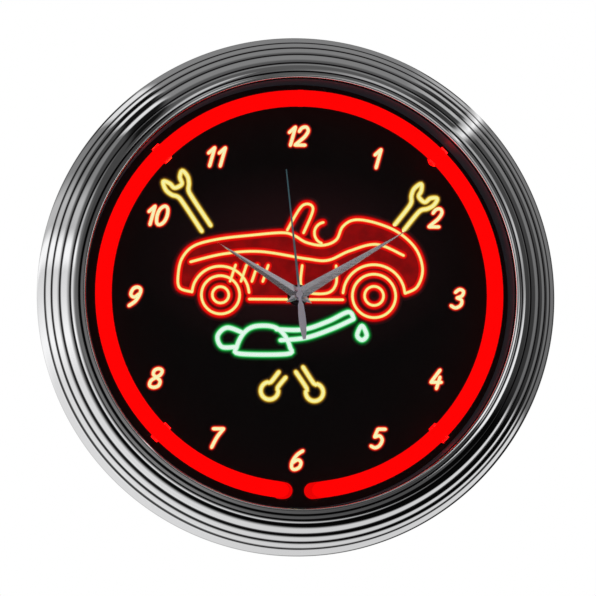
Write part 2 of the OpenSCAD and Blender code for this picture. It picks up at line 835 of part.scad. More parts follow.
module fifth_wheel() {
    color("gold") on_wall()
    translate(concat(fifth_at, 0))
    union() {
        translate([0, 0, 20]) cylinder(r = arbor_r, h = 6.9);
        translate([0, 0, fifth_z]) gear(48, train_m, wheel_t, rotor_dir + 180 / 48);
        translate([0, 0, fifth_z + wheel_t - e]) gear(10, train_m, 1.5, fifth_dir + 180);
    }
}

// Centre wheel: its long arbor carries the second hand
module second_wheel() {
    color("gold") on_wall()
    union() {
        translate([0, 0, 20]) cylinder(r = arbor_r, h = second_hand_z + 1 - 20);
        translate([0, 0, second_z]) gear(50, train_m, wheel_t, fifth_dir + 180 / 50);
        translate([0, 0, second_z + wheel_t - e]) gear(8, train_m, 1.6, third_dir);
    }
}

module third_wheel() {
    color("gold") on_wall()
    translate(concat(third_at, 0))
    union() {
        translate([0, 0, 20]) cylinder(r = arbor_r, h = 11.9);
        translate([0, 0, third_z]) gear(60, train_m, wheel_t, third_dir + 180 + 180 / 60);
        translate([0, 0, 27.8]) gear(8, third_m, 1.4, third_dir + 180);
    }
}

// Minute pipe: the wheel below, the cannon pinion above it and the seat of the hand on top
module minute_wheel() {
    color("gold") on_wall()
    difference() {
        union() {
            translate([0, 0, minute_z]) gear(64, third_m, wheel_t, third_dir + 180 / 64);
            translate([0, 0, 29.5]) gear(12, train_m, 1.5, works_dir);
            translate([0, 0, 27.5]) cylinder(r = minute_pipe_r, h = minute_hand_z + 1.4 - 27.5);
        }
        translate([0, 0, 27]) cylinder(r = hole_r, h = 30);
    }
}

module intermediate_wheel() {
    color("gold") on_wall()
    translate(concat(works_at, 0))
    difference() {
        union() {
            translate([0, 0, works_z]) gear(36, train_m, wheel_t, works_dir + 180 + 180 / 36);
            translate([0, 0, works_z + wheel_t - e]) gear(10, hour_m, 2.3, works_dir + 180);
        }
        translate([0, 0, works_z - 1]) cylinder(r = 0.66, h = 5);
    }
}

module hour_wheel() {
    color("gold") on_wall()
    difference() {
        union() {
            translate([0, 0, hour_z]) gear(40, hour_m, 1, works_dir + 180 / 40);
            translate([0, 0, hour_z]) cylinder(r = hour_pipe_r, h = hour_hand_z + 1.4 - hour_z);
        }
        translate([0, 0, hour_z - 1]) cylinder(r = minute_pipe_r + 0.06, h = 20);
    }
}

// Setting knob behind the case, and the arbor whose pinion turns the intermediate wheel
module setting_knob() {
    color("ivory") on_wall()
    translate(concat(setting_at, 0))
    union() {
        translate([0, 0, 15.4])
        linear_extrude(3.2)
        polygon([for (i = [0 : 39]) polar(i % 2 == 0 ? 5 : 4.6, i * 9)]);
        translate([0, 0, 18.5]) cylinder(r = 0.9, h = 11.2);
        translate([0, 0, 29.5]) gear(12, train_m, 1.4, works_dir + 180);
        translate([0, 0, 30.8]) cylinder(r = arbor_r, h = 2.2);
    }
}

// Two soft iron poles around the rotor, which reach out to the coil's two ends
module stator() {
    color("lightgray") on_wall()
    translate([0, 0, stator_z])
    linear_extrude(0.8)
    difference() {
        union() {
            translate(rotor_at) circle(5.8);
            polygon([[-14.5, 15], [-9.6, 15], [-9.6, 20.8], [4, 20.8], [4, 24.4], [-14.5, 24.4]]);
            polygon([[-9, 15.9], [25.8, 15.9], [25.8, 24.4], [22.6, 24.4], [22.6, 18.3], [-9, 18.3]]);
        }
        translate(rotor_at) circle(stator_hole_r);
        translate(rotor_at - [0.3, 8]) square([0.6, 8]);
        translate(rotor_at + [-0.3, 0]) square([0.6, 8]);
    }
}

module coil_core() {
    color("gray") on_wall()
    block([0.8, coil_y - 1.3, stator_z + 0.8], [25.6, coil_y + 1.3, stator_z + 1.6]);
}

module coil_bobbin() {
    color("ivory") on_wall()
    translate([coil_x - 8.6, coil_y, stator_z + 1.2])
    rotate([0, 90, 0])
    difference() {
        union() {
            cylinder(r = 2, h = 17.2);
            cylinder(r = 3.8, h = 0.8);
            translate([0, 0, 16.4]) cylinder(r = 3.8, h = 0.8);
        }
        block([-0.4, -1.3, -1], [0.4, 1.3, 19]);
    }
}

module coil_winding() {
    color("chocolate") on_wall()
    translate([coil_x - 7.8, coil_y, stator_z + 1.2])
    rotate([0, 90, 0])
    ring(3.4, 2, 15.6);
}

// Circuit board with its moulded chip
module movement_board() {
    color("darkgreen") on_wall()
    union() {
        block([-25.6, -9, 24.6], [-16.4, 25, 25.4]);
        translate([-20.4, 17, 25.4 - e]) cylinder(r1 = 3, r2 = 2, h = 1.2);
    }
}

module quartz_crystal() {
    color("silver") on_wall()
    translate([-20.5, 1, 26.9])
    rotate([-90, 0, 0])
    cylinder(r = 1.5, h = 8);
}

// AA cell in the lower bay
module battery() {
    color("darkorange") on_wall()
    translate([-cell_len / 2, cell_y, cell_z])
    rotate([0, 90, 0])
    union() {
        cylinder(r = cell_r, h = cell_len - 1.3);
        translate([0, 0, cell_len - 1.3 - e]) cylinder(r = 2.75, h = 1.3 + e);
    }
}

// Strip from the cell's cap along the bay's wall to the circuit board
module contact_positive() {
    color("silver") on_wall()
    union() {
        block([25.3, -24, 22], [25.7, -10.4, 31]);
        block([-16.2, -10.8, 22.6], [25.7, -10.4, 25.6]);
    }
}

// Spring leaf on the cell's base, with a tail beside the circuit board
module contact_negative() {
    color("silver") on_wall()
    union() {
        block([-26.4, -24, 22], [-26, -8, 26]);
        translate([-26.1, cell_y, cell_z]) rotate([0, 90, 0]) cylinder(r1 = 3, r2 = 1, h = 0.8);
        block([-26.4, cell_y - 3, 22], [-26, cell_y + 3, 31]);
    }
}

// ---- Hands ----

// A pointed blade with a ridge: flat below, and two slopes that meet along its middle
module blade(tip, shoulder, heel, half_width, edge_t, ridge_t) {
    hull() {
        linear_extrude(edge_t)
        polygon([[0, tip], [half_width, shoulder], [0, heel], [-half_width, shoulder]]);
        linear_extrude(ridge_t)
        polygon([[0, tip - 3], [ridge_w / 2, shoulder], [0, heel + 1], [-ridge_w / 2, shoulder]]);
    }
}

// An hour or minute hand: a long blade widest at the pivot, a short leaf behind it, a round hub
module lance_hand(length, angle, hub_r, bore_r, low, hub_h) {
    translate([0, 0, low])
    rotate([0, 0, -angle])
    difference() {
        union() {
            blade(length, 2.5, -4.5, hand_w / 2, 0.4, 1.1);
            blade(2, -5, -11.5, 2.3, 0.4, 0.9);
            cylinder(r = hub_r, h = hub_h);
        }
        translate([0, 0, -1]) cylinder(r = bore_r, h = hub_h + 2);
    }
}

module hour_hand() {
    color("gainsboro") on_wall()
    lance_hand(hour_len, hour_angle, 4.2, hour_pipe_r, hour_hand_z, 1.5);
}

module minute_hand() {
    color("gainsboro") on_wall()
    lance_hand(minute_len, minute_angle, 3.1, minute_pipe_r, minute_hand_z, 1.5);
}

// Needle with a leaf-shaped counterweight tail and a capped hub
needle_side = [[0.35, second_len], [0.9, 0], [1, -5], [2, -7.5], [2.6, -15.5], [2.6, -21.5],
    [2, -28], [1, -33]];

module second_hand() {
    color("slategray") on_wall()
    translate([0, 0, second_hand_z])
    rotate([0, 0, -second_angle])
    difference() {
        union() {
            linear_extrude(0.6)
            polygon(concat(needle_side, [for (i = [len(needle_side) - 1:-1:0])
                [-needle_side[i][0], needle_side[i][1]]]));
            translate([0, 0, -0.8]) cylinder(r = 2.2, h = 2.2);
        }
        translate([0, 0, -2]) cylinder(r = arbor_r, h = 3);
    }
}

chrome_rim();
lens_gasket();
glass_lens();
dial_liner();
dial_board();
dial_screws();
neon_tube();
electrodes();
tube_clips();
electrode_boots();
high_voltage_leads();
supply_case();
supply_lid();
supply_board();
supply_transformer();
supply_capacitors();
supply_screws();
lid_screws();
inlet_body();
inlet_pin();
inlet_nut();
low_voltage_leads();
switch_body();
switch_rocker();
back_cover();
rim_screws();
hanger_plate();
hanger_rivets();
movement_front();
movement_back();
middle_plate();
dial_nut();
brass_washer();
rubber_washer();
hour_hand();
minute_hand();
second_hand();
hour_wheel();
minute_wheel();
second_wheel();
third_wheel();
fifth_wheel();
rotor_pinion();
rotor_magnet();
intermediate_wheel();
setting_knob();
stator();
coil_core();
coil_bobbin();
coil_winding();
movement_board();
quartz_crystal();
battery();
contact_positive();
contact_negative();
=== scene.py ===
import math

import bmesh
import bpy
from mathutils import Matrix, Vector


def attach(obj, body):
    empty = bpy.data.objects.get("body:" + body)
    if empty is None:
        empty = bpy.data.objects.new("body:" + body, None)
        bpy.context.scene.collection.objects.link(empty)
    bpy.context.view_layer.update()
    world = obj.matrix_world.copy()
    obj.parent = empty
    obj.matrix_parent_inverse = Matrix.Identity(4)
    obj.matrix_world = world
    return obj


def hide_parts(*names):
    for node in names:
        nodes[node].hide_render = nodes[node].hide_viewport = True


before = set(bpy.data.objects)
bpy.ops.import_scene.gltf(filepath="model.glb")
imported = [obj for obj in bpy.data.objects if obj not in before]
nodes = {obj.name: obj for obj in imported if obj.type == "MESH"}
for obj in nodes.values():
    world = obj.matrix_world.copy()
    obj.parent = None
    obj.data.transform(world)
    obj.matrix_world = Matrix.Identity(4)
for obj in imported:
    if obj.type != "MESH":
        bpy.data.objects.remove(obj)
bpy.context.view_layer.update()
scene = bpy.context.scene

# ---- Camera ----
# It looks at the face from a little to its left and below its axis, and from far enough away
# that the case looks almost flat.
CAMERA_AZIMUTH, CAMERA_ELEVATION = math.radians(-5.5), math.radians(-4.3)
CAMERA_DISTANCE = 2.2
FACE_CENTRE = Vector((0, -0.032, 0))
LENS, SENSOR = 180.7, 36
NEAREST, FARTHEST = 0.05, 50
PAN_RIGHT, PAN_DOWN = 0.00066, 0.00133

away = Vector((math.sin(CAMERA_AZIMUTH) * math.cos(CAMERA_ELEVATION),
               -math.cos(CAMERA_AZIMUTH) * math.cos(CAMERA_ELEVATION),
               math.sin(CAMERA_ELEVATION)))
turn = (-away).to_track_quat("-Z", "Y")
pan = turn @ Vector((PAN_RIGHT, -PAN_DOWN, 0))
lens = bpy.data.cameras.new("front_camera")
lens.lens = LENS
lens.sensor_width = SENSOR
lens.clip_start, lens.clip_end = NEAREST, FARTHEST
camera = bpy.data.objects.new("front_camera", lens)
camera.rotation_mode = "QUATERNION"
camera.rotation_quaternion = turn
camera.location = FACE_CENTRE + away * CAMERA_DISTANCE + pan
scene.collection.objects.link(camera)
scene.camera = camera
scene.view_settings.view_transform = "Standard"

# ---- Studio ----
# Soft light from all round, brighter at the lower left, with a few narrow strip lights: the
# polished rim shows them. Straight in front it is dark, so the glass stays clear. Each table
# gives a level by degrees clockwise from 12: the light in front, in a belt round the side and
# either side of that belt. The last one, spread, is half the belt's width.
CLOCKWISE = {
    "front": [(0, 0.08), (14, 0.12), (28, 0.45), (45, 0.45), (60, 0.3), (68, 0.6), (78, 0.25),
              (90, 0.85), (105, 0.95), (113, 0.9), (116, 0.08), (135, 0.07), (155, 0.08),
              (180, 0.11), (205, 0.2), (222, 0.2), (270, 0.14), (290, 0.1), (300, 0.06),
              (336, 0.06), (344, 0.55), (353, 0.55)],
    "side": [(0, 0.22), (30, 0.22), (35, 0.42), (43, 0.5), (44.5, 0.25), (45.6, 1.0),
             (46.8, 1.0), (48, 0.2), (52, 0.2), (105, 0.15), (110, 0.15), (115, 0.75),
             (150, 0.66), (180, 0.66), (200, 0.72), (225, 0.74), (240, 0.74), (252, 0.76),
             (262, 1.0), (274, 0.76), (280, 0.7), (283, 1.0), (287, 1.0), (291, 0.5),
             (298, 0.5), (305, 0.24), (318, 0.2), (320.5, 0.75), (330, 0.85), (332.5, 0.24)],
    "between": [(0, 0.1), (30, 0.09), (36, 0.03), (44, 0.05), (45.6, 0.9), (46.8, 0.9),
                (48, 0.07), (52, 0.065), (105, 0.03), (115, 0.002), (180, 0.002),
                (235, 0.003), (250, 0.03), (262, 0.14), (283, 0.2), (292, 0.14), (306, 0.06),
                (318, 0.06), (321, 0.006), (330, 0.006), (333, 0.09)],
    "spread": [(0, 0.2), (30, 0.2), (34, 0.11), (44, 0.11), (48, 0.12), (105, 0.1),
               (114, 0.07), (120, 0.075), (135, 0.11), (150, 0.15), (165, 0.2),
               (180, 0.24), (225, 0.27), (283, 0.3), (300, 0.23), (318, 0.11), (331, 0.11),
               (333, 0.2)],
}
BELT_CENTRE = 0.625
BELT_SOFTNESS = 0.3
DARK_FRONT = (0.064, 0.078)
FRONT_TO_SIDE = (0.19, 0.24)
SIDE_TO_BACK = (0.86, 0.92)
FRONT_LIGHT, BACK_LIGHT = 0.02, 0.7
BACKDROP_WHITE = (1, 1, 1, 1)


def math_step(tree, operation, *values):
    """One sum in a node tree: each value is a number or another node's output."""
    step = tree.nodes.new("ShaderNodeMath")
    step.operation = operation
    for socket, value in zip(step.inputs, values):
        if isinstance(value, (int, float)):
            socket.default_value = value
        else:
            tree.links.new(value, socket)
    return step.outputs[0]


def fade(tree, value, low, high):
    """0 below low, 1 above high and a soft step between."""
    step = tree.nodes.new("ShaderNodeMapRange")
    step.interpolation_type = "SMOOTHSTEP"
    tree.links.new(value, step.inputs["Value"])
    for name, limit in (("From Min", low), ("From Max", high)):
        if isinstance(limit, (int, float)):
            step.inputs[name].default_value = limit
        else:
            tree.links.new(limit, step.inputs[name])
    return step.outputs["Result"]


def mixed(tree, factor, first, second):
    """first where the factor is 0 and second where it is 1."""
    step = tree.nodes.new("ShaderNodeMix")
    tree.links.new(factor, step.inputs["Factor"])
    for socket, value in ((step.inputs["A"], first), (step.inputs["B"], second)):
        if isinstance(value, (int, float)):
            socket.default_value = value
        else:
            tree.links.new(value, socket)
    return step.outputs["Result"]


def colour_steps(tree, value, steps):
    """A colour ramp: steps are (position, brightness or colour)."""
    ramp = tree.nodes.new("ShaderNodeValToRGB")
    tree.links.new(value, ramp.inputs["Fac"])
    points = ramp.color_ramp.elements
    for i, (position, colour) in enumerate(sorted(steps, key=lambda s: s[0])):
        point = points[i] if i < 2 else points.new(position)
        point.position = position
        point.color = (*([colour] * 3 if isinstance(colour, (int, float)) else colour), 1)
    return ramp.outputs["Color"]


def round_the_clock(tree, value, name):
    """Brightness by direction, clockwise from 12, closed at 6 where the ramp starts."""
    steps = [(((degrees + 180) % 360) / 360, level) for degrees, level in CLOCKWISE[name]]
    steps.append((1.0, dict(CLOCKWISE[name])[180]))
    return colour_steps(tree, value, steps)


studio = bpy.data.worlds.new("studio")
studio.use_nodes = True
scene.world = studio
tree = studio.node_tree
tree.nodes.clear()
direction = tree.nodes.new("ShaderNodeSeparateXYZ")
tree.links.new(tree.nodes.new("ShaderNodeTexCoord").outputs["Generated"], direction.inputs[0])
around = math_step(tree, "ARCTAN2", direction.outputs["X"], direction.outputs["Z"])
around = math_step(tree, "MULTIPLY_ADD", around, 0.5 / math.pi, 0.5)
forward = math_step(tree, "MULTIPLY", direction.outputs["Y"], -1.0)
polar = math_step(tree, "DIVIDE", math_step(tree, "ARCCOSINE", forward), math.pi)
off_belt = math_step(tree, "ABSOLUTE", math_step(tree, "SUBTRACT", polar, BELT_CENTRE))
spread = round_the_clock(tree, around, "spread")
outside = fade(tree, off_belt, math_step(tree, "MULTIPLY", spread, 1 - BELT_SOFTNESS),
               math_step(tree, "MULTIPLY", spread, 1 + BELT_SOFTNESS))
side = mixed(tree, outside, round_the_clock(tree, around, "side"),
             round_the_clock(tree, around, "between"))
level = mixed(tree, fade(tree, polar, *DARK_FRONT), FRONT_LIGHT,
              round_the_clock(tree, around, "front"))
level = mixed(tree, fade(tree, polar, *FRONT_TO_SIDE), level, side)
level = mixed(tree, fade(tree, polar, *SIDE_TO_BACK), level, BACK_LIGHT)
room = tree.nodes.new("ShaderNodeBackground")
tree.links.new(level, room.inputs["Color"])
backdrop = tree.nodes.new("ShaderNodeBackground")
backdrop.inputs["Color"].default_value = BACKDROP_WHITE
seen = tree.nodes.new("ShaderNodeMixShader")
tree.links.new(tree.nodes.new("ShaderNodeLightPath").outputs["Is Camera Ray"], seen.inputs[0])
tree.links.new(room.outputs[0], seen.inputs[1])
tree.links.new(backdrop.outputs[0], seen.inputs[2])
tree.links.new(seen.outputs[0], tree.nodes.new("ShaderNodeOutputWorld").inputs["Surface"])

# A pale floor far below the clock. It neither lights the clock nor shows in its chrome.
FLOOR_HALF, FLOOR_LEVEL = 3.0, -0.45
FLOOR_PALE, FLOOR_GLOW = (0.86, 0.86, 0.85), 0.5


def new_piece(name, points, faces):
    """A mesh object of that name, its faces turned outwards."""
    mesh = bpy.data.meshes.new(name)
    mesh.from_pydata([tuple(p) for p in points], [], faces)
    work = bmesh.new()
    work.from_mesh(mesh)
    bmesh.ops.recalc_face_normals(work, faces=work.faces)
    work.to_mesh(mesh)
    work.free()
    piece = bpy.data.objects.new(name, mesh)
    scene.collection.objects.link(piece)
    return piece


def new_finish(name, colour, roughness, metallic=0.0, **sockets):
    """A material with a plain shader. Other sockets are named with _ for a space."""
    finish = bpy.data.materials.new(name)
    finish.use_nodes = True
    shader = finish.node_tree.nodes["Principled BSDF"]
    shader.inputs["Base Color"].default_value = (*colour, 1)
    shader.inputs["Roughness"].default_value = roughness
    shader.inputs["Metallic"].default_value = metallic
    for socket, value in sockets.items():
        shader.inputs[socket.replace("_", " ")].default_value = value
    return finish


floor = new_piece("floor", [(x, y, FLOOR_LEVEL) for x, y in
                            ((-FLOOR_HALF, -FLOOR_HALF), (FLOOR_HALF, -FLOOR_HALF),
                             (FLOOR_HALF, FLOOR_HALF), (-FLOOR_HALF, FLOOR_HALF))],
                  [(0, 1, 2, 3)])
floor.data.materials.append(new_finish("pale_floor", FLOOR_PALE, 0.9,
                                      Emission_Strength=FLOOR_GLOW))
floor.visible_glossy = False
floor.visible_diffuse = False
floor.visible_transmission = False

# ---- Rim ----
# Spun from one sheet of steel, polished and chromed: five convex ribs, a lip turned in over
# the glass and a flat flange behind that the cover's screws hold. Millimetres from here on.
MM = 0.001
CASE_R, WIDEST, SHEET = 190.5, 32.0, 1.0
GROOVES = [(0, 0), (5.4, 16), (10.2, 23), (16, 30), (23.3, 38), (29.9, 41)]
RIB_RISES = [2.2, 1.1, 1.2, 1.35, 0.85]
RIB_STEPS, RIM_STEPS = 20, 480
OPENING_R, LIP, FLANGE_BACK, FLANGE_T, FLANGE_IN = 156.3, 74.0, 28.5, 1.2, 13
LIP_ROUND, LIP_STEPS = 1.1, 8
# Corners as (inwards from the widest edge, forwards from the flange's back).
FLANGE_CORNER = [(1.2, 0), (0.5, 0.4), (0.1, 1.4)]
INNER_CORNER = [(SHEET + 0.6, 2.4), (2.4, FLANGE_T), (FLANGE_IN, FLANGE_T)]
# The lip's face and its turned-in back, as (outwards from the opening, back from the front).
LIP_FACE = [(2.6, 0.28), (1.8, 0.08)]
LIP_BACK = [(0, 2), (1, 2), (1.2, 1.3)]
CREASE = math.radians(24)
# The first colour is the chrome's own; the second is painted shade for the bottoms of the
# grooves.
CHROME_COLOUR, GROOVE_SHADE = (0.93, 0.93, 0.94), (0.012, 0.012, 0.013)
GROOVE_SHADE_HALF, GROOVE_SHADE_EDGE = 0.45, 1.0
PATTERN_LOW, PATTERN_HIGH = 0.3, 0.7


def at(x, y, z):
    """A point given in millimetres on the face: right, up and out from the wall."""
    return Vector((x, -z, y)) * MM


def arched(a, b, rise, steps):
    """Points on the arc from a to b that stands out by rise, without b."""
    chord = math.dist(a, b)
    radius = (chord * chord / 4 + rise * rise) / (2 * rise)
    way = ((b[0] - a[0]) / chord, (b[1] - a[1]) / chord)
    out = (way[1], -way[0])
    centre = [(a[k] + b[k]) / 2 - out[k] * (radius - rise) for k in (0, 1)]
    half = math.asin(chord / 2 / radius)
    turns = [-half + 2 * half * i / steps for i in range(steps)]
    return [tuple(centre[k] + way[k] * radius * math.sin(t) + out[k] * radius * math.cos(t)
                  for k in (0, 1)) for t in turns]


def spun(name, outline, steps):
    """A closed outline of (radius, height) turned once round the face's axis."""
    count = len(outline)
    points, faces = [], []
    for i in range(steps):
        turned = 2 * math.pi * i / steps
        points += [at(r * math.sin(turned), r * math.cos(turned), z) for r, z in outline]
        ahead = (i + 1) % steps
        faces += [(i * count + j, i * count + (j + 1) % count,
                   ahead * count + (j + 1) % count, ahead * count + j)
                  for j in range(count)]
    return new_piece(name, points, faces)


def smooth(piece):
    """Smooth shading, with edges sharper than the crease left sharp."""
    piece.data.shade_smooth()
    piece.data.set_sharp_from_angle(angle=CREASE)
    return piece


def shader_of(finish):
    """The plain shader that a finish is made with."""
    return finish.node_tree.nodes["Principled BSDF"]


def own_axes(tree):
    """How far right (X), out from the face (-Y) and up (Z) a point of a piece is, in metres."""
    axes = tree.nodes.new("ShaderNodeSeparateXYZ")
    tree.links.new(tree.nodes.new("ShaderNodeTexCoord").outputs["Object"], axes.inputs[0])
    return axes.outputs


def place_texture(finish, stretch=(1, 1, 1), spin=(0, 0, 0)):
    """The coordinates that a pattern is laid by: metres on the piece, turned and stretched."""
    nodes_of = finish.node_tree.nodes
    mapping = nodes_of.new("ShaderNodeMapping")
    mapping.inputs["Scale"].default_value = stretch
    mapping.inputs["Rotation"].default_value = spin
    finish.node_tree.links.new(nodes_of.new("ShaderNodeTexCoord").outputs["Object"],
                               mapping.inputs["Vector"])
    return mapping.outputs["Vector"]


def cloud(finish, size_mm, detail=3.0, stretch=(1, 1, 1), spin=(0, 0, 0)):
    """Noise whose patches are about size_mm across."""
    noise = finish.node_tree.nodes.new("ShaderNodeTexNoise")
    noise.inputs["Scale"].default_value = 1 / (size_mm * MM)
    noise.inputs["Detail"].default_value = detail
    finish.node_tree.links.new(place_texture(finish, stretch, spin), noise.inputs["Vector"])
    return noise.outputs["Fac"]


def vary_roughness(finish, pattern, low, high):
    """Roughness that wanders between low and high."""
    spread_out = finish.node_tree.nodes.new("ShaderNodeMapRange")
    finish.node_tree.links.new(pattern, spread_out.inputs["Value"])
    for limit, value in (("From Min", PATTERN_LOW), ("From Max", PATTERN_HIGH),
                         ("To Min", low), ("To Max", high)):
        spread_out.inputs[limit].default_value = value
    finish.node_tree.links.new(spread_out.outputs["Result"],
                               shader_of(finish).inputs["Roughness"])


def vary_colour(finish, pattern, *colours):
    """Colour that wanders evenly through the given colours."""
    gap = (PATTERN_HIGH - PATTERN_LOW) / (len(colours) - 1)
    steps = [(PATTERN_LOW + gap * i, colour) for i, colour in enumerate(colours)]
    finish.node_tree.links.new(colour_steps(finish.node_tree, pattern, steps),
                               shader_of(finish).inputs["Base Color"])


def emboss(finish, pattern, depth_mm, strength=1.0):
    """Fine relief, up to depth_mm deep."""
    bump = finish.node_tree.nodes.new("ShaderNodeBump")
    bump.inputs["Distance"].default_value = depth_mm * MM
    bump.inputs["Strength"].default_value = strength
    finish.node_tree.links.new(pattern, bump.inputs["Height"])
    finish.node_tree.links.new(bump.outputs["Normal"], shader_of(finish).inputs["Normal"])


knots = [(CASE_R - inwards, WIDEST + forwards) for inwards, forwards in GROOVES]
rim_outside = [(CASE_R - inwards, FLANGE_BACK + forwards)
               for inwards, forwards in [(FLANGE_IN, 0)] + FLANGE_CORNER]
for a, b, rise in zip(knots, knots[1:], RIB_RISES):
    rim_outside += arched(a, b, rise, RIB_STEPS)
rim_outside += [knots[-1]] + [(OPENING_R + outwards, LIP - back) for outwards, back in LIP_FACE]
rim_outside += [(OPENING_R + LIP_ROUND * (1 - math.sin(t)), LIP - LIP_ROUND * (1 - math.cos(t)))
                for t in [math.pi / 2 * i / LIP_STEPS for i in range(LIP_STEPS + 1)]]
rim_inside = [(OPENING_R + outwards, LIP - back) for outwards, back in LIP_BACK]
rim_inside.append((knots[-1][0], knots[-1][1] - SHEET))
for a, b, rise in reversed(list(zip(knots, knots[1:], RIB_RISES))):
    chord = math.dist(a, b)
    out = ((b[1] - a[1]) / chord, (a[0] - b[0]) / chord)
    rim_inside.append(tuple((a[k] + b[k]) / 2 + out[k] * (rise - SHEET) for k in (0, 1)))
rim_inside += [(CASE_R - inwards, FLANGE_BACK + forwards) for inwards, forwards in INNER_CORNER]
rim = smooth(spun("polished_rim", rim_outside + rim_inside, RIM_STEPS))
chrome = new_finish("polished_chrome", CHROME_COLOUR, 0.05, 1.0)
vary_roughness(chrome, cloud(chrome, 22), 0.03, 0.085)
emboss(chrome, cloud(chrome, 26, 2.0), 0.02, 0.35)
# Painted shade darkens the bottom of each groove, by distance from the face's axis.
tree = chrome.node_tree
axes = own_axes(tree)
squares = [math_step(tree, "MULTIPLY", axes[name], axes[name]) for name in "XZ"]
outwards = math_step(tree, "SQRT", math_step(tree, "ADD", *squares))
outwards = math_step(tree, "DIVIDE", math_step(tree, "SUBTRACT", outwards, OPENING_R * MM),
                     (CASE_R - OPENING_R) * MM)
groove_shade_steps = []
for inwards, _ in GROOVES[1:]:
    middle = CASE_R - inwards - OPENING_R
    groove_shade_steps += [((middle + side * reach) / (CASE_R - OPENING_R), colour)
             for side, reach, colour in ((-1, GROOVE_SHADE_EDGE, CHROME_COLOUR), (-1, GROOVE_SHADE_HALF, GROOVE_SHADE),
                                         (1, GROOVE_SHADE_HALF, GROOVE_SHADE), (1, GROOVE_SHADE_EDGE, CHROME_COLOUR))]
tree.links.new(colour_steps(tree, outwards, groove_shade_steps), shader_of(chrome).inputs["Base Color"])
rim.data.materials.append(chrome)
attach(rim, "case")
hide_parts("chrome_rim")


# ---- Glass and its gasket ----
# A flat disc of window glass, held at its edge by a channel of black rubber behind the lip.
def refinish(finish, *names):
    """Gives the frame's own pieces this material."""
    for name in names:
        for holder in nodes[name].material_slots:
            holder.material = finish


rubber = new_finish("black_rubber", (0.012, 0.012, 0.013), 0.7)
emboss(rubber, cloud(rubber, 0.6), 0.03, 0.5)
vary_colour(rubber, cloud(rubber, 9), (0.008, 0.008, 0.009), (0.02, 0.02, 0.021))
refinish(rubber, "lens_gasket", "rubber_washer")

window = new_finish("clear_window_glass", (1, 1, 1), 0.0, IOR=1.46, Transmission_Weight=1.0)
refinish(window, "glass_lens")

# ---- Liner ----
# A deep-drawn ring of satin black plastic between the lip and the dial. The real one gives no
# light: the weak glow here only lifts its black.
liner_black = new_finish("satin_black_liner", (0.02, 0.04, 0.045), 0.5, Emission_Strength=1.0,
                         Emission_Color=(0.0055, 0.0105, 0.0135, 1))
vary_roughness(liner_black, cloud(liner_black, 14), 0.45, 0.58)
emboss(liner_black, cloud(liner_black, 5), 0.02, 0.4)
refinish(liner_black, "dial_liner")

# ---- Dial ----
# A disc of black hardboard, screen printed, held by six small screws to the cover's bosses. An
# oval of very dim red lies round the drawing, as the light spilling from it.
HALO_HEIGHT, HALO_REACH = 24.0, (118.0, 74.0)
HALO_STEPS = [(0.0, 0.0), (0.25, (0.0035, 0.0008, 0.0011)), (0.6, (0.011, 0.0024, 0.003)),
              (1.0, (0.018, 0.004, 0.005))]
dial_black = new_finish("printed_dial_black", (0.003, 0.002, 0.003), 0.6,
                        Specular_IOR_Level=0.15, Emission_Strength=1.0)
vary_colour(dial_black, cloud(dial_black, 60), (0.0026, 0.0018, 0.0026),
            (0.0036, 0.0024, 0.0034))
vary_roughness(dial_black, cloud(dial_black, 3), 0.55, 0.66)
emboss(dial_black, cloud(dial_black, 0.4), 0.01, 0.4)
tree = dial_black.node_tree
halo_place = tree.nodes.new("ShaderNodeMapping")
halo_place.inputs["Location"].default_value = (0, 0, -HALO_HEIGHT / HALO_REACH[1])
halo_place.inputs["Scale"].default_value = (1 / (HALO_REACH[0] * MM), 0,
                                            1 / (HALO_REACH[1] * MM))
halo = tree.nodes.new("ShaderNodeTexGradient")
halo.gradient_type = "SPHERICAL"
tree.links.new(tree.nodes.new("ShaderNodeTexCoord").outputs["Object"],
               halo_place.inputs["Vector"])
tree.links.new(halo_place.outputs["Vector"], halo.inputs["Vector"])
tree.links.new(colour_steps(tree, halo.outputs["Fac"], HALO_STEPS),
               shader_of(dial_black).inputs["Emission Color"])
refinish(dial_black, "dial_board")

# ---- Printed lines on the dial ----
# Thick glossy ink, like bent light tubes drawn in ink: a pale core in a coloured glow that fades
# into the black. The ink's colours are painted light: the print glows by itself, with no lamp on
# it. Each line is highest along its middle, and its colour goes by height.
DIAL_FRONT = 39.0
INK_SLOPE = 0.06
INK_SINK = 0.03
SPACING = 1.0
ROOF = [-1.0, -0.75, -0.5, -0.28, -0.12, 0.0, 0.12, 0.28, 0.5, 0.75, 1.0]
INK_DOT_SIDES = 24
FULL_COLOUR, COLOUR_CURVE = 255, 2.2
FIELD_WEAK, FIELD_STRONG = (0.35, 0.75), (0.65, 1.2)


def eased(path, closed=False):
    """A smooth line through the points, in steps of about SPACING."""
    count = len(path)
    line = []
    for i in range(count if closed else count - 1):
        if closed:
            p = [path[(i + k) % count] for k in (-1, 0, 1, 2)]
        else:
            p = [path[max(0, i - 1)], path[i], path[i + 1], path[min(count - 1, i + 2)]]
        steps = max(2, round(math.dist(p[1], p[2]) / SPACING))
        for s in range(steps):
            t = s / steps
            line.append(tuple(
                0.5 * (2 * p[1][k] + (p[2][k] - p[0][k]) * t
                       + (2 * p[0][k] - 5 * p[1][k] + 4 * p[2][k] - p[3][k]) * t * t
                       + (3 * p[1][k] - p[0][k] - 3 * p[2][k] + p[3][k]) * t ** 3)
                for k in (0, 1)))
    return line if closed else line + [path[-1]]


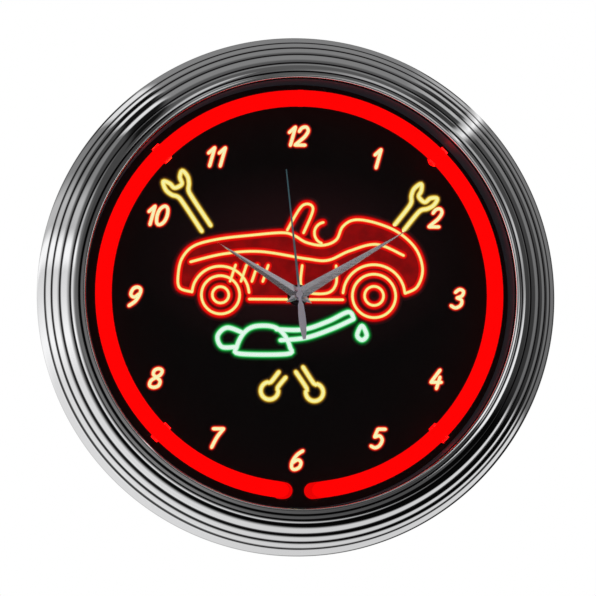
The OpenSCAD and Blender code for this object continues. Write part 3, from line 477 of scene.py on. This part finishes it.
def ink_line(points, faces, line, reach, closed=False):
    """Adds one line of ink: a low roof along it, with a cone on each free end."""
    base, count, across = len(points), len(line), len(ROOF)
    foot, top = DIAL_FRONT - INK_SINK, reach * INK_SLOPE
    for i, (x, y) in enumerate(line):
        before = line[i - 1] if closed or i else line[0]
        after = line[(i + 1) % count] if closed or i < count - 1 else line[-1]
        run = math.dist(before, after) or 1.0
        side_x, side_y = (after[1] - before[1]) / run, (before[0] - after[0]) / run
        points += [at(x + side_x * reach * s, y + side_y * reach * s,
                      foot + INK_SINK * (abs(s) < 1) + top * (1 - abs(s))) for s in ROOF]
        points += [at(x + side_x * reach * s, y + side_y * reach * s, foot - INK_SINK)
                   for s in (1, -1)]
    ring = across + 2
    for i in range(count if closed else count - 1):
        here, there = base + i * ring, base + (i + 1) % count * ring
        faces += [(here + j, here + (j + 1) % ring, there + (j + 1) % ring, there + j)
                  for j in range(ring)]
    if closed:
        return
    faces += [tuple(base + j for j in range(ring)),
              tuple(base + (count - 1) * ring + j for j in range(ring))]
    for x, y in (line[0], line[-1]):
        ink_dot(points, faces, x, y, reach)


def ink_dot(points, faces, x, y, reach):
    """A round spot of ink that rises to its middle as a line does."""
    start, foot = len(points), DIAL_FRONT - INK_SINK
    turns = [2 * math.pi * i / INK_DOT_SIDES for i in range(INK_DOT_SIDES)]
    for z in (foot - INK_SINK, foot):
        points += [at(x + reach * math.cos(t), y + reach * math.sin(t), z) for t in turns]
    points += [at(x, y, DIAL_FRONT + reach * INK_SLOPE), at(x, y, foot - INK_SINK)]
    peak, bottom = start + 2 * INK_DOT_SIDES, start + 2 * INK_DOT_SIDES + 1
    for i in range(INK_DOT_SIDES):
        j = (i + 1) % INK_DOT_SIDES
        low, high = start, start + INK_DOT_SIDES
        faces += [(low + i, low + j, high + j, high + i), (high + i, high + j, peak),
                  (low + j, low + i, bottom)]


def height_between(finish, low, high):
    """0 at the low height above the wall and 1 at the high one, both in millimetres."""
    tree = finish.node_tree
    rise = tree.nodes.new("ShaderNodeMapRange")
    tree.links.new(own_axes(tree)["Y"], rise.inputs["Value"])
    rise.inputs["From Min"].default_value = -low * MM
    rise.inputs["From Max"].default_value = -high * MM
    return rise.outputs["Result"]


def ink_light(colour, strength=1.0):
    """The light of an ink colour whose parts go up to FULL_COLOUR."""
    return tuple(strength * (part / FULL_COLOUR) ** COLOUR_CURVE for part in colour)


def ink_finish(name, reach, *bands):
    """Ink whose colour goes by distance from the line: bands are (distance in mm, colour)."""
    # The ink's colour is given only as its own glow: painted light, not a colour lit by the
    # room.
    finish = new_finish(name, (0.004, 0.003, 0.005), 0.5, Specular_IOR_Level=0.25,
                        Emission_Strength=1.0)
    height = height_between(finish, DIAL_FRONT, DIAL_FRONT + reach * INK_SLOPE)
    steps = [(1 - distance / reach, ink_light(colour)) for distance, colour in bands]
    finish.node_tree.links.new(colour_steps(finish.node_tree, height, steps),
                               shader_of(finish).inputs["Emission Color"])
    return finish


def printed(name, finish, reach, lines):
    """One print in one ink. lines are (points, smooth, closed): only a smooth one closes."""
    points, faces = [], []
    for path, is_smooth, closed in lines:
        if is_smooth:
            ink_line(points, faces, eased(path, closed), reach, closed)
        else:
            for a, b in zip(path, path[1:]):
                ink_line(points, faces, [a, b], reach)
    piece = smooth(new_piece(name, points, faces))
    piece.data.materials.append(finish)
    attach(piece, "case")


def arc(x, y, radius, start, end, steps=12):
    """Points on an arc, in degrees from the right, anticlockwise."""
    return [(x + radius * math.cos(math.radians(start + (end - start) * i / steps)),
             y + radius * math.sin(math.radians(start + (end - start) * i / steps)))
            for i in range(steps + 1)]


def circle(x, y, radius):
    """A closed ring of points."""
    return arc(x, y, radius, 0, 330, 11)


def filled(name, colour, reach, distance, outline):
    """A flat field of ink as thick as a line is at that distance from its middle."""
    count, top = len(outline), DIAL_FRONT + (reach - distance) * INK_SLOPE
    points = [at(x, y, z) for z in (DIAL_FRONT - INK_SINK, top) for x, y in outline]
    faces = [tuple(range(count)), tuple(range(count, 2 * count))]
    faces += [(i, (i + 1) % count, count + (i + 1) % count, count + i) for i in range(count)]
    piece = new_piece(name, points, faces)
    # The field's colour is painted light too: it glows by itself.
    finish = new_finish(name, (0.02, 0.002, 0.003), 0.5, Specular_IOR_Level=0.2,
                        Emission_Strength=1.0)
    steps = [(place, ink_light(colour, strength))
             for place, strength in (FIELD_WEAK, FIELD_STRONG)]
    finish.node_tree.links.new(colour_steps(finish.node_tree, cloud(finish, 9), steps),
                               shader_of(finish).inputs["Emission Color"])
    piece.data.materials.append(finish)
    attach(piece, "case")


# A plain open two-seater seen from its side, in a double red line round a dark red field.
RED_REACH = 6.0
red_ink = ink_finish("red_line_ink", RED_REACH,
                     (0, (255, 243, 165)), (0.75, (255, 236, 130)), (1.1, (255, 90, 25)),
                     (1.5, (238, 10, 0)), (2.6, (214, 0, 0)), (3.3, (105, 0, 6)),
                     (4.2, (48, 8, 12)), (RED_REACH, (18, 9, 12)))
body_line = [(-78, 2), (-87, 5), (-88, 15), (-85, 27), (-76, 36), (-58, 41), (-34, 44),
             (-12, 46), (-3, 44), (6, 39), (18, 37), (28, 41), (33, 51), (42, 56),
             (57, 54), (74, 47), (87, 35), (92, 20), (88, 7), (79, 2)]
rear_arch = arc(56, 0, 23, 5, 175)
front_arch = arc(-57, 0, 21, 5, 175)
belt_line = [(-79, 24), (-55, 30), (-28, 32), (6, 27), (22, 26), (38, 33), (58, 38), (78, 30)]
door = [(3, 22), (2, 8), (8, 2), (22, 2), (28, 9), (28, 22)]
screen = [(-8, 48), (3, 66), (11, 64), (4, 46)]
wheel_hand = arc(20, 46, 8, 100, 250)
louvres = [[(-46 + 8 * i, 22), (-50 + 8 * i, 10)] for i in range(4)]
printed("red_car_print", red_ink, RED_REACH, [
    (body_line, True, False), (rear_arch, True, False), (front_arch, True, False),
    ([(33, -3), (-36, -3)], False, False), (belt_line, True, False), (door, True, False),
    (screen, True, False), (wheel_hand, True, False),
    (circle(56, 0, 16), True, True), (circle(56, 0, 7), True, True),
    (circle(-57, 0, 14), True, True), (circle(-57, 0, 6), True, True)]
    + [(line, False, False) for line in louvres])
filled("red_car_field", (132, 9, 12), RED_REACH, 3.0,
       eased(body_line) + rear_arch[1:] + [(33, -3), (-36, -3)] + front_arch[1:-1])

# Two crossed spanners in yellow, with an open jaw above and a ring end below, left out where
# the car and the oil can stand. Each is its jaw's end, its ring's middle, and how much of the
# handle shows from the jaw and from the ring.
YELLOW_REACH = 4.2
yellow_ink = ink_finish("yellow_line_ink", YELLOW_REACH,
                        (0, (255, 250, 180)), (1.1, (253, 240, 130)), (1.6, (220, 178, 45)),
                        (2.1, (120, 85, 15)), (3.0, (34, 24, 12)), (YELLOW_REACH, (11, 9, 12)))
SPANNERS = [((-93, 87), (12, -71), 24, 20), ((97, 78.5), (-21, -70), 15, 15)]
GRIP_HALF = 3.9
JAW = [(0, GRIP_HALF), (6.5, 4.6), (10.5, 7.6), (16, 9.2), (22, 7.4), (18, 4.2), (13.5, 3),
       (13, -3), (18, -4.6), (21, -8.6), (15.5, -9.6), (10.5, -7.6), (6.5, -4.6),
       (0, -GRIP_HALF)]
JAW_LENGTH = 22
EYE_R, NECK_HALF, EYE_STEPS = 6.4, 3.2, 14
yellow_lines = []
for tip, tail, grip, neck in SPANNERS:
    length = math.dist(tip, tail)
    along = ((tip[0] - tail[0]) / length, (tip[1] - tail[1]) / length)
    half_gap = math.asin(NECK_HALF / EYE_R)
    eye = [(EYE_R * math.cos(a), EYE_R * math.sin(a))
           for a in (half_gap + 2 * (math.pi - half_gap) * i / EYE_STEPS
                     for i in range(EYE_STEPS + 1))]
    ends = [(tip, [(-grip, GRIP_HALF)] + JAW + [(-grip, -GRIP_HALF)], JAW_LENGTH),
            (tail, [(neck, NECK_HALF)] + eye + [(neck, -NECK_HALF)], 0)]
    for end, shape, reach in ends:
        yellow_lines.append(([(end[0] + along[0] * (u - reach) - along[1] * v,
                               end[1] + along[1] * (u - reach) + along[0] * v)
                              for u, v in shape], True, False))
printed("yellow_spanner_print", yellow_ink, YELLOW_REACH, yellow_lines)

# An oil can with a long spout, in green.
GREEN_REACH = 5.0
green_ink = ink_finish("green_line_ink", GREEN_REACH,
                       (0, (240, 255, 246)), (1.3, (212, 252, 226)), (1.8, (70, 205, 115)),
                       (2.4, (0, 140, 48)), (3.3, (0, 66, 24)), (4.2, (6, 26, 14)),
                       (GREEN_REACH, (10, 9, 12)))
can = [(-43, -43), (-8, -43), (-6, -38), (-11, -28), (-19, -23), (-32, -23), (-40, -28),
       (-45, -38)]
printed("green_oil_can_print", green_ink, GREEN_REACH, [
    (can, True, True),
    ([(-13, -33), (6, -31), (26, -24), (41, -17)], True, False),
    ([(-16, -25), (4, -25), (22, -19), (37, -12), (41, -17)], True, False),
    ([(-40, -28), (-52, -24), (-59, -30), (-56, -38), (-45, -38)], True, False),
    ([(47, -22), (43.5, -29), (47, -32.5), (50.5, -29)], True, True)])

# ---- Numerals ----
# Printed 1 to 12 in a loose slanted hand, upright all the way round.
NUMERAL_R, NUMERAL_H, NUMERAL_W, SLANT = 119.0, 13.6, 12.6, 0.26
NUMERAL_REACH = 3.4
PRINT_MIDDLE = (-0.8, -1.6)  # the print sits a little left of the hands' axis and below it
numeral_ink = ink_finish("cream_numeral_ink", NUMERAL_REACH,
                         (0, (255, 248, 195)), (1.0, (255, 243, 170)), (1.35, (255, 120, 50)),
                         (1.7, (242, 20, 5)), (2.15, (150, 0, 5)), (2.7, (60, 6, 10)),
                         (NUMERAL_REACH, (11, 9, 12)))
DIGITS = {
    "0": [([(0.31, 1), (0.08, 0.82), (0.02, 0.45), (0.12, 0.08), (0.31, 0), (0.52, 0.16),
            (0.6, 0.52), (0.52, 0.88)], True, True)],
    "1": [([(0.1, 0.7), (0.38, 1)], False, False), ([(0.38, 1), (0.36, 0)], False, False)],
    "2": [([(0.04, 0.76), (0.16, 0.96), (0.4, 1), (0.56, 0.8), (0.46, 0.5), (0.2, 0.22),
            (0, 0.02)], True, False), ([(0, 0.02), (0.6, 0.02)], False, False)],
    "3": [([(0.06, 0.84), (0.26, 1), (0.52, 0.9), (0.5, 0.66), (0.24, 0.54)], True, False),
          ([(0.24, 0.54), (0.54, 0.42), (0.57, 0.15), (0.3, 0), (0, 0.12)], True, False)],
    "4": [([(0.36, 1), (0, 0.34)], False, False), ([(0, 0.34), (0.62, 0.34)], False, False),
          ([(0.46, 0.62), (0.42, 0)], False, False)],
    "5": [([(0.6, 1), (0.16, 1)], False, False), ([(0.16, 1), (0.08, 0.58)], False, False),
          ([(0.08, 0.58), (0.36, 0.64), (0.57, 0.42), (0.5, 0.12), (0.26, 0), (0, 0.1)],
           True, False)],
    "6": [([(0.5, 1), (0.22, 0.78), (0.05, 0.42), (0.1, 0.1), (0.3, 0), (0.54, 0.12),
            (0.56, 0.38), (0.34, 0.52), (0.07, 0.36)], True, False)],
    "7": [([(0.02, 1), (0.62, 1)], False, False),
          ([(0.62, 1), (0.36, 0.55), (0.2, 0)], True, False)],
    "8": [([(0.3, 0.54), (0.08, 0.7), (0.1, 0.92), (0.32, 1), (0.54, 0.9), (0.5, 0.68),
            (0.3, 0.54), (0.04, 0.36), (0.04, 0.1), (0.3, 0), (0.56, 0.1), (0.56, 0.36)],
           True, True)],
    "9": [([(0.53, 0.64), (0.3, 0.46), (0.06, 0.6), (0.1, 0.9), (0.33, 1), (0.55, 0.88),
            (0.56, 0.6), (0.42, 0.25), (0.12, 0)], True, False)],
}
DIGIT_WIDE, DIGIT_STEP, ONE_STEP = 0.6, 0.78, 0.62
numeral_lines = []
for hour in range(1, 13):
    figures = str(hour)
    steps_across = [ONE_STEP if f == "1" else DIGIT_STEP for f in figures[:-1]]
    width = (sum(steps_across) + DIGIT_WIDE) * NUMERAL_W
    angle = math.radians(30 * hour)
    left = NUMERAL_R * math.sin(angle) - width / 2
    bottom = PRINT_MIDDLE[1] + NUMERAL_R * math.cos(angle) - NUMERAL_H / 2
    for place, figure in enumerate(figures):
        start = PRINT_MIDDLE[0] + left + sum(steps_across[:place]) * NUMERAL_W
        for path, is_smooth, closed in DIGITS[figure]:
            drawn = [(start + u * NUMERAL_W + (v - 0.5) * SLANT * NUMERAL_H,
                      bottom + v * NUMERAL_H) for u, v in path]
            numeral_lines.append((drawn, is_smooth, closed))
printed("dial_numerals", numeral_ink, NUMERAL_REACH, numeral_lines)

# ---- Neon ring ----
# Glass tube bent into a ring and filled with neon. Its ends turn back through the dial to the
# electrodes. Four clear clips hold it off the dial, and glow red as if lit from inside.
TUBE_AXIS, TUBE_R = 57.0, 6.0
neon = new_finish("red_neon_glass", (0.0, 0.0, 0.0), 0.4, Specular_IOR_Level=0.0,
                  Emission_Strength=1.08)
tree = neon.node_tree
front_half = height_between(neon, TUBE_AXIS, TUBE_AXIS + TUBE_R)
tree.links.new(colour_steps(tree, front_half, [(0.0, (0.8, 0.0, 0.0)), (0.15, (1.0, 0.0, 0.0))]),
               shader_of(neon).inputs["Emission Color"])
refinish(neon, "neon_tube")

clip_clear = new_finish("lit_clear_clip", (0.9, 0.4, 0.4), 0.12, IOR=1.49,
                        Transmission_Weight=0.9, Emission_Strength=0.9,
                        Emission_Color=(0.9, 0.0, 0.0, 1))
vary_roughness(clip_clear, cloud(clip_clear, 4), 0.08, 0.25)
refinish(clip_clear, "tube_clips")

boot_red = new_finish("red_silicone_boot", (0.28, 0.03, 0.02), 0.55, Subsurface_Weight=0.1,
                      Subsurface_Scale=0.001)
vary_colour(boot_red, cloud(boot_red, 5), (0.24, 0.02, 0.015), (0.34, 0.04, 0.03))
emboss(boot_red, cloud(boot_red, 0.5), 0.02, 0.5)
refinish(boot_red, "electrode_boots")

nickel = new_finish("nickel_plated_steel", (0.62, 0.6, 0.56), 0.28, 1.0)
vary_roughness(nickel, cloud(nickel, 3), 0.2, 0.4)
vary_colour(nickel, cloud(nickel, 7), (0.56, 0.54, 0.5), (0.68, 0.66, 0.62))
refinish(nickel, "electrodes", "inlet_pin", "inlet_nut", "contact_positive",
         "contact_negative", "quartz_crystal")

# ---- Wires ----
# Stranded wire in a soft sleeve: red silicone from the supply to the electrodes, and black
# from the inlet and the switch.
lead_red = new_finish("red_wire_sleeve", (0.45, 0.02, 0.02), 0.42)
vary_colour(lead_red, cloud(lead_red, 8), (0.38, 0.014, 0.014), (0.5, 0.03, 0.026))
emboss(lead_red, cloud(lead_red, 0.8), 0.02, 0.4)
refinish(lead_red, "high_voltage_leads")
lead_black = new_finish("black_wire_sleeve", (0.014, 0.014, 0.015), 0.38)
vary_roughness(lead_black, cloud(lead_black, 6), 0.3, 0.5)
emboss(lead_black, cloud(lead_black, 0.8), 0.02, 0.4)
refinish(lead_black, "low_voltage_leads")

# ---- Supply box ----
# A moulded box with a screwed lid. Inside, a brown board carries the transformer, three round
# and two flat capacitors.
moulded_black = new_finish("moulded_black_plastic", (0.02, 0.02, 0.021), 0.5)
vary_roughness(moulded_black, cloud(moulded_black, 8), 0.42, 0.6)
vary_colour(moulded_black, cloud(moulded_black, 30), (0.016, 0.016, 0.017),
            (0.026, 0.026, 0.027))
emboss(moulded_black, cloud(moulded_black, 0.7), 0.06, 0.6)
refinish(moulded_black, "supply_case", "supply_lid")

board_green = new_finish("green_board", (0.02, 0.16, 0.07), 0.35)
vary_colour(board_green, cloud(board_green, 2.5, 0.0, (1, 1, 4)), (0.012, 0.11, 0.045),
            (0.016, 0.14, 0.06), (0.035, 0.21, 0.1))
emboss(board_green, cloud(board_green, 0.8), 0.03, 0.4)
refinish(board_green, "supply_board", "movement_board")

ferrite = new_finish("grey_ferrite", (0.045, 0.045, 0.048), 0.62)
vary_colour(ferrite, cloud(ferrite, 1.2), (0.03, 0.03, 0.032), (0.065, 0.064, 0.066))
emboss(ferrite, cloud(ferrite, 0.4), 0.05, 0.6)
refinish(ferrite, "supply_transformer")

sleeve_blue = new_finish("blue_shrink_sleeve", (0.02, 0.05, 0.2), 0.3)
vary_roughness(sleeve_blue, cloud(sleeve_blue, 3), 0.22, 0.4)
emboss(sleeve_blue, cloud(sleeve_blue, 2), 0.03, 0.4)
refinish(sleeve_blue, "supply_capacitors")

zinc = new_finish("zinc_plated_screw", (0.58, 0.58, 0.56), 0.32, 1.0)
vary_roughness(zinc, cloud(zinc, 1.5), 0.24, 0.46)
vary_colour(zinc, cloud(zinc, 4), (0.5, 0.5, 0.47), (0.66, 0.66, 0.65))
refinish(zinc, "dial_screws", "supply_screws", "lid_screws", "rim_screws")

# ---- Inlet and switch ----
# A black nylon socket for the low-voltage plug and a small rocker switch, both set in flats on
# the cover's edge.
nylon_black = new_finish("black_nylon", (0.018, 0.018, 0.019), 0.4)
vary_roughness(nylon_black, cloud(nylon_black, 2), 0.32, 0.5)
emboss(nylon_black, cloud(nylon_black, 0.3), 0.02, 0.5)
refinish(nylon_black, "inlet_body", "switch_body")
rocker_red = new_finish("red_rocker_plastic", (0.5, 0.012, 0.01), 0.25)
vary_roughness(rocker_red, cloud(rocker_red, 3), 0.18, 0.36)
emboss(rocker_red, cloud(rocker_red, 0.4), 0.02, 0.3)
refinish(rocker_red, "switch_rocker")

# ---- Back cover ----
# One moulded pan of black plastic with a fine spark-eroded texture and a slightly uneven tone.
cover_black = new_finish("textured_cover_black", (0.02, 0.02, 0.021), 0.52)
vary_roughness(cover_black, cloud(cover_black, 12), 0.44, 0.64)
vary_colour(cover_black, cloud(cover_black, 45, 5.0), (0.016, 0.016, 0.017),
            (0.024, 0.024, 0.025), (0.034, 0.033, 0.033))
emboss(cover_black, cloud(cover_black, 0.9), 0.08, 0.7)
refinish(cover_black, "back_cover")

galvanised = new_finish("galvanised_steel", (0.5, 0.52, 0.54), 0.4, 1.0)
flakes = galvanised.node_tree.nodes.new("ShaderNodeTexVoronoi")
flakes.inputs["Scale"].default_value = 1 / (4 * MM)
galvanised.node_tree.links.new(place_texture(galvanised), flakes.inputs["Vector"])
vary_colour(galvanised, flakes.outputs["Color"], (0.42, 0.44, 0.46), (0.62, 0.64, 0.66))
vary_roughness(galvanised, cloud(galvanised, 5), 0.3, 0.5)
refinish(galvanised, "hanger_plate")
aluminium = new_finish("soft_aluminium", (0.76, 0.76, 0.76), 0.35, 1.0)
vary_roughness(aluminium, cloud(aluminium, 2), 0.28, 0.45)
refinish(aluminium, "hanger_rivets")

# ---- Movement ----
# A quartz movement: two black case halves, white gears on a middle plate, a coil on a steel
# core, the stator's two poles round the rotor's magnet, and one cell.
movement_black = new_finish("matt_movement_black", (0.022, 0.022, 0.024), 0.48)
vary_roughness(movement_black, cloud(movement_black, 5), 0.4, 0.58)
emboss(movement_black, cloud(movement_black, 0.35), 0.04, 0.6)
refinish(movement_black, "movement_front", "movement_back")

gear_white = new_finish("white_gear_plastic", (0.78, 0.78, 0.74), 0.35, Subsurface_Weight=0.15,
                        Subsurface_Scale=0.001)
vary_roughness(gear_white, cloud(gear_white, 2), 0.28, 0.45)
vary_colour(gear_white, cloud(gear_white, 5), (0.74, 0.74, 0.69), (0.82, 0.82, 0.79))
refinish(gear_white, "middle_plate", "hour_wheel", "minute_wheel", "second_wheel",
         "third_wheel", "fifth_wheel", "rotor_pinion", "intermediate_wheel", "coil_bobbin")
knob_black = new_finish("knurled_knob_plastic", (0.035, 0.035, 0.037), 0.45)
vary_roughness(knob_black, cloud(knob_black, 1.5), 0.36, 0.55)
emboss(knob_black, cloud(knob_black, 0.3), 0.02, 0.4)
refinish(knob_black, "setting_knob")

blackened = new_finish("blackened_brass", (0.03, 0.028, 0.03), 0.4, 0.6)
vary_roughness(blackened, cloud(blackened, 1.5), 0.32, 0.48)
vary_colour(blackened, cloud(blackened, 3), (0.022, 0.02, 0.022), (0.04, 0.036, 0.038))
refinish(blackened, "dial_nut", "brass_washer")

core_steel = new_finish("silicon_steel", (0.4, 0.4, 0.42), 0.38, 1.0)
vary_roughness(core_steel, cloud(core_steel, 2, 3.0, (1, 1, 6)), 0.3, 0.5)
refinish(core_steel, "stator", "coil_core")

magnet_grey = new_finish("magnet_grey", (0.1, 0.1, 0.105), 0.4, 0.6)
vary_roughness(magnet_grey, cloud(magnet_grey, 0.8), 0.3, 0.5)
refinish(magnet_grey, "rotor_magnet")

# Fine enamelled wire, wound side by side. WAVE_LENGTH is one ripple's length in the pattern.
WIRE_PITCH, WAVE_LENGTH = 0.16, 0.314
enamelled = new_finish("enamelled_copper", (0.58, 0.2, 0.07), 0.3, 1.0)
turns_of_wire = enamelled.node_tree.nodes.new("ShaderNodeTexWave")
turns_of_wire.bands_direction = "X"
turns_of_wire.inputs["Scale"].default_value = WAVE_LENGTH / (WIRE_PITCH * MM)
enamelled.node_tree.links.new(place_texture(enamelled), turns_of_wire.inputs["Vector"])
emboss(enamelled, turns_of_wire.outputs["Fac"], WIRE_PITCH / 2, 0.8)
vary_colour(enamelled, cloud(enamelled, 2), (0.5, 0.16, 0.05), (0.66, 0.26, 0.1))
refinish(enamelled, "coil_winding")

# The cell's jacket: copper colour at the positive end and black for the rest, both steel
# under a clear film.
CELL_BAND_X, CELL_BAND_EDGE = 0.0145, 0.0003
jacket = new_finish("cell_jacket", (0.03, 0.03, 0.03), 0.3, 0.5, Coat_Weight=0.6)
tree = jacket.node_tree
past_band = fade(tree, own_axes(tree)["X"], CELL_BAND_X, CELL_BAND_X + CELL_BAND_EDGE)
tree.links.new(colour_steps(tree, past_band,
                            [(0.0, (0.03, 0.03, 0.032)), (1.0, (0.6, 0.28, 0.1))]),
               shader_of(jacket).inputs["Base Color"])
vary_roughness(jacket, cloud(jacket, 6), 0.22, 0.38)
refinish(jacket, "battery")


# ---- Hands ----
# Lance-shaped hands pressed from thin aluminium with a ridge down the middle, and a painted
# second hand with a counterweight. The real second hand gives no light: painted light, a weak
# glow, keeps its needle clear of the black dial, and a stronger glow lifts its pale tail.
HAND_LIGHT, HAND_DARK = (0.9, 0.92, 1.0), (0.78, 0.8, 0.88)


def brushed(name, angle):
    """Aluminium with fine lines along a hand that points angle degrees from 12."""
    finish = new_finish(name, HAND_LIGHT, 0.22, 1.0)
    lines = cloud(finish, 1.0, 2.0, (0.03, 1, 1.6), (0, math.radians(90 - angle), 0))
    vary_roughness(finish, lines, 0.17, 0.28)
    vary_colour(finish, lines, HAND_DARK, HAND_LIGHT)
    emboss(finish, lines, 0.01, 0.4)
    return finish


HOUR_ANGLE, MINUTE_ANGLE, SECOND_ANGLE = 302.5, 59.0, 353.9
refinish(brushed("brushed_hour_hand", HOUR_ANGLE), "hour_hand")
refinish(brushed("brushed_minute_hand", MINUTE_ANGLE), "minute_hand")

TAIL_FROM, TAIL_TO = 0.004, 0.01
needle = new_finish("painted_second_hand", (0.1, 0.15, 0.18), 0.45, Emission_Strength=1.0)
tree = needle.node_tree
lengthways = tree.nodes.new("ShaderNodeSeparateXYZ")
tree.links.new(place_texture(needle, spin=(0, math.radians(SECOND_ANGLE), 0)),
               lengthways.inputs[0])
past_hub = fade(tree, lengthways.outputs["Z"], TAIL_FROM, TAIL_TO)
# The emission colours are painted light: a faint glow on the needle and a stronger one on the
# tail.
for socket, tail_colour, needle_colour in (
        ("Base Color", (0.92, 0.93, 0.99), (0.14, 0.33, 0.4)),
        ("Emission Color", (0.12, 0.12, 0.15), (0.022, 0.055, 0.068))):
    tree.links.new(colour_steps(tree, past_hub, [(0.0, tail_colour), (1.0, needle_colour)]),
                   shader_of(needle).inputs[socket])
vary_roughness(needle, cloud(needle, 3), 0.4, 0.5)
refinish(needle, "second_hand")
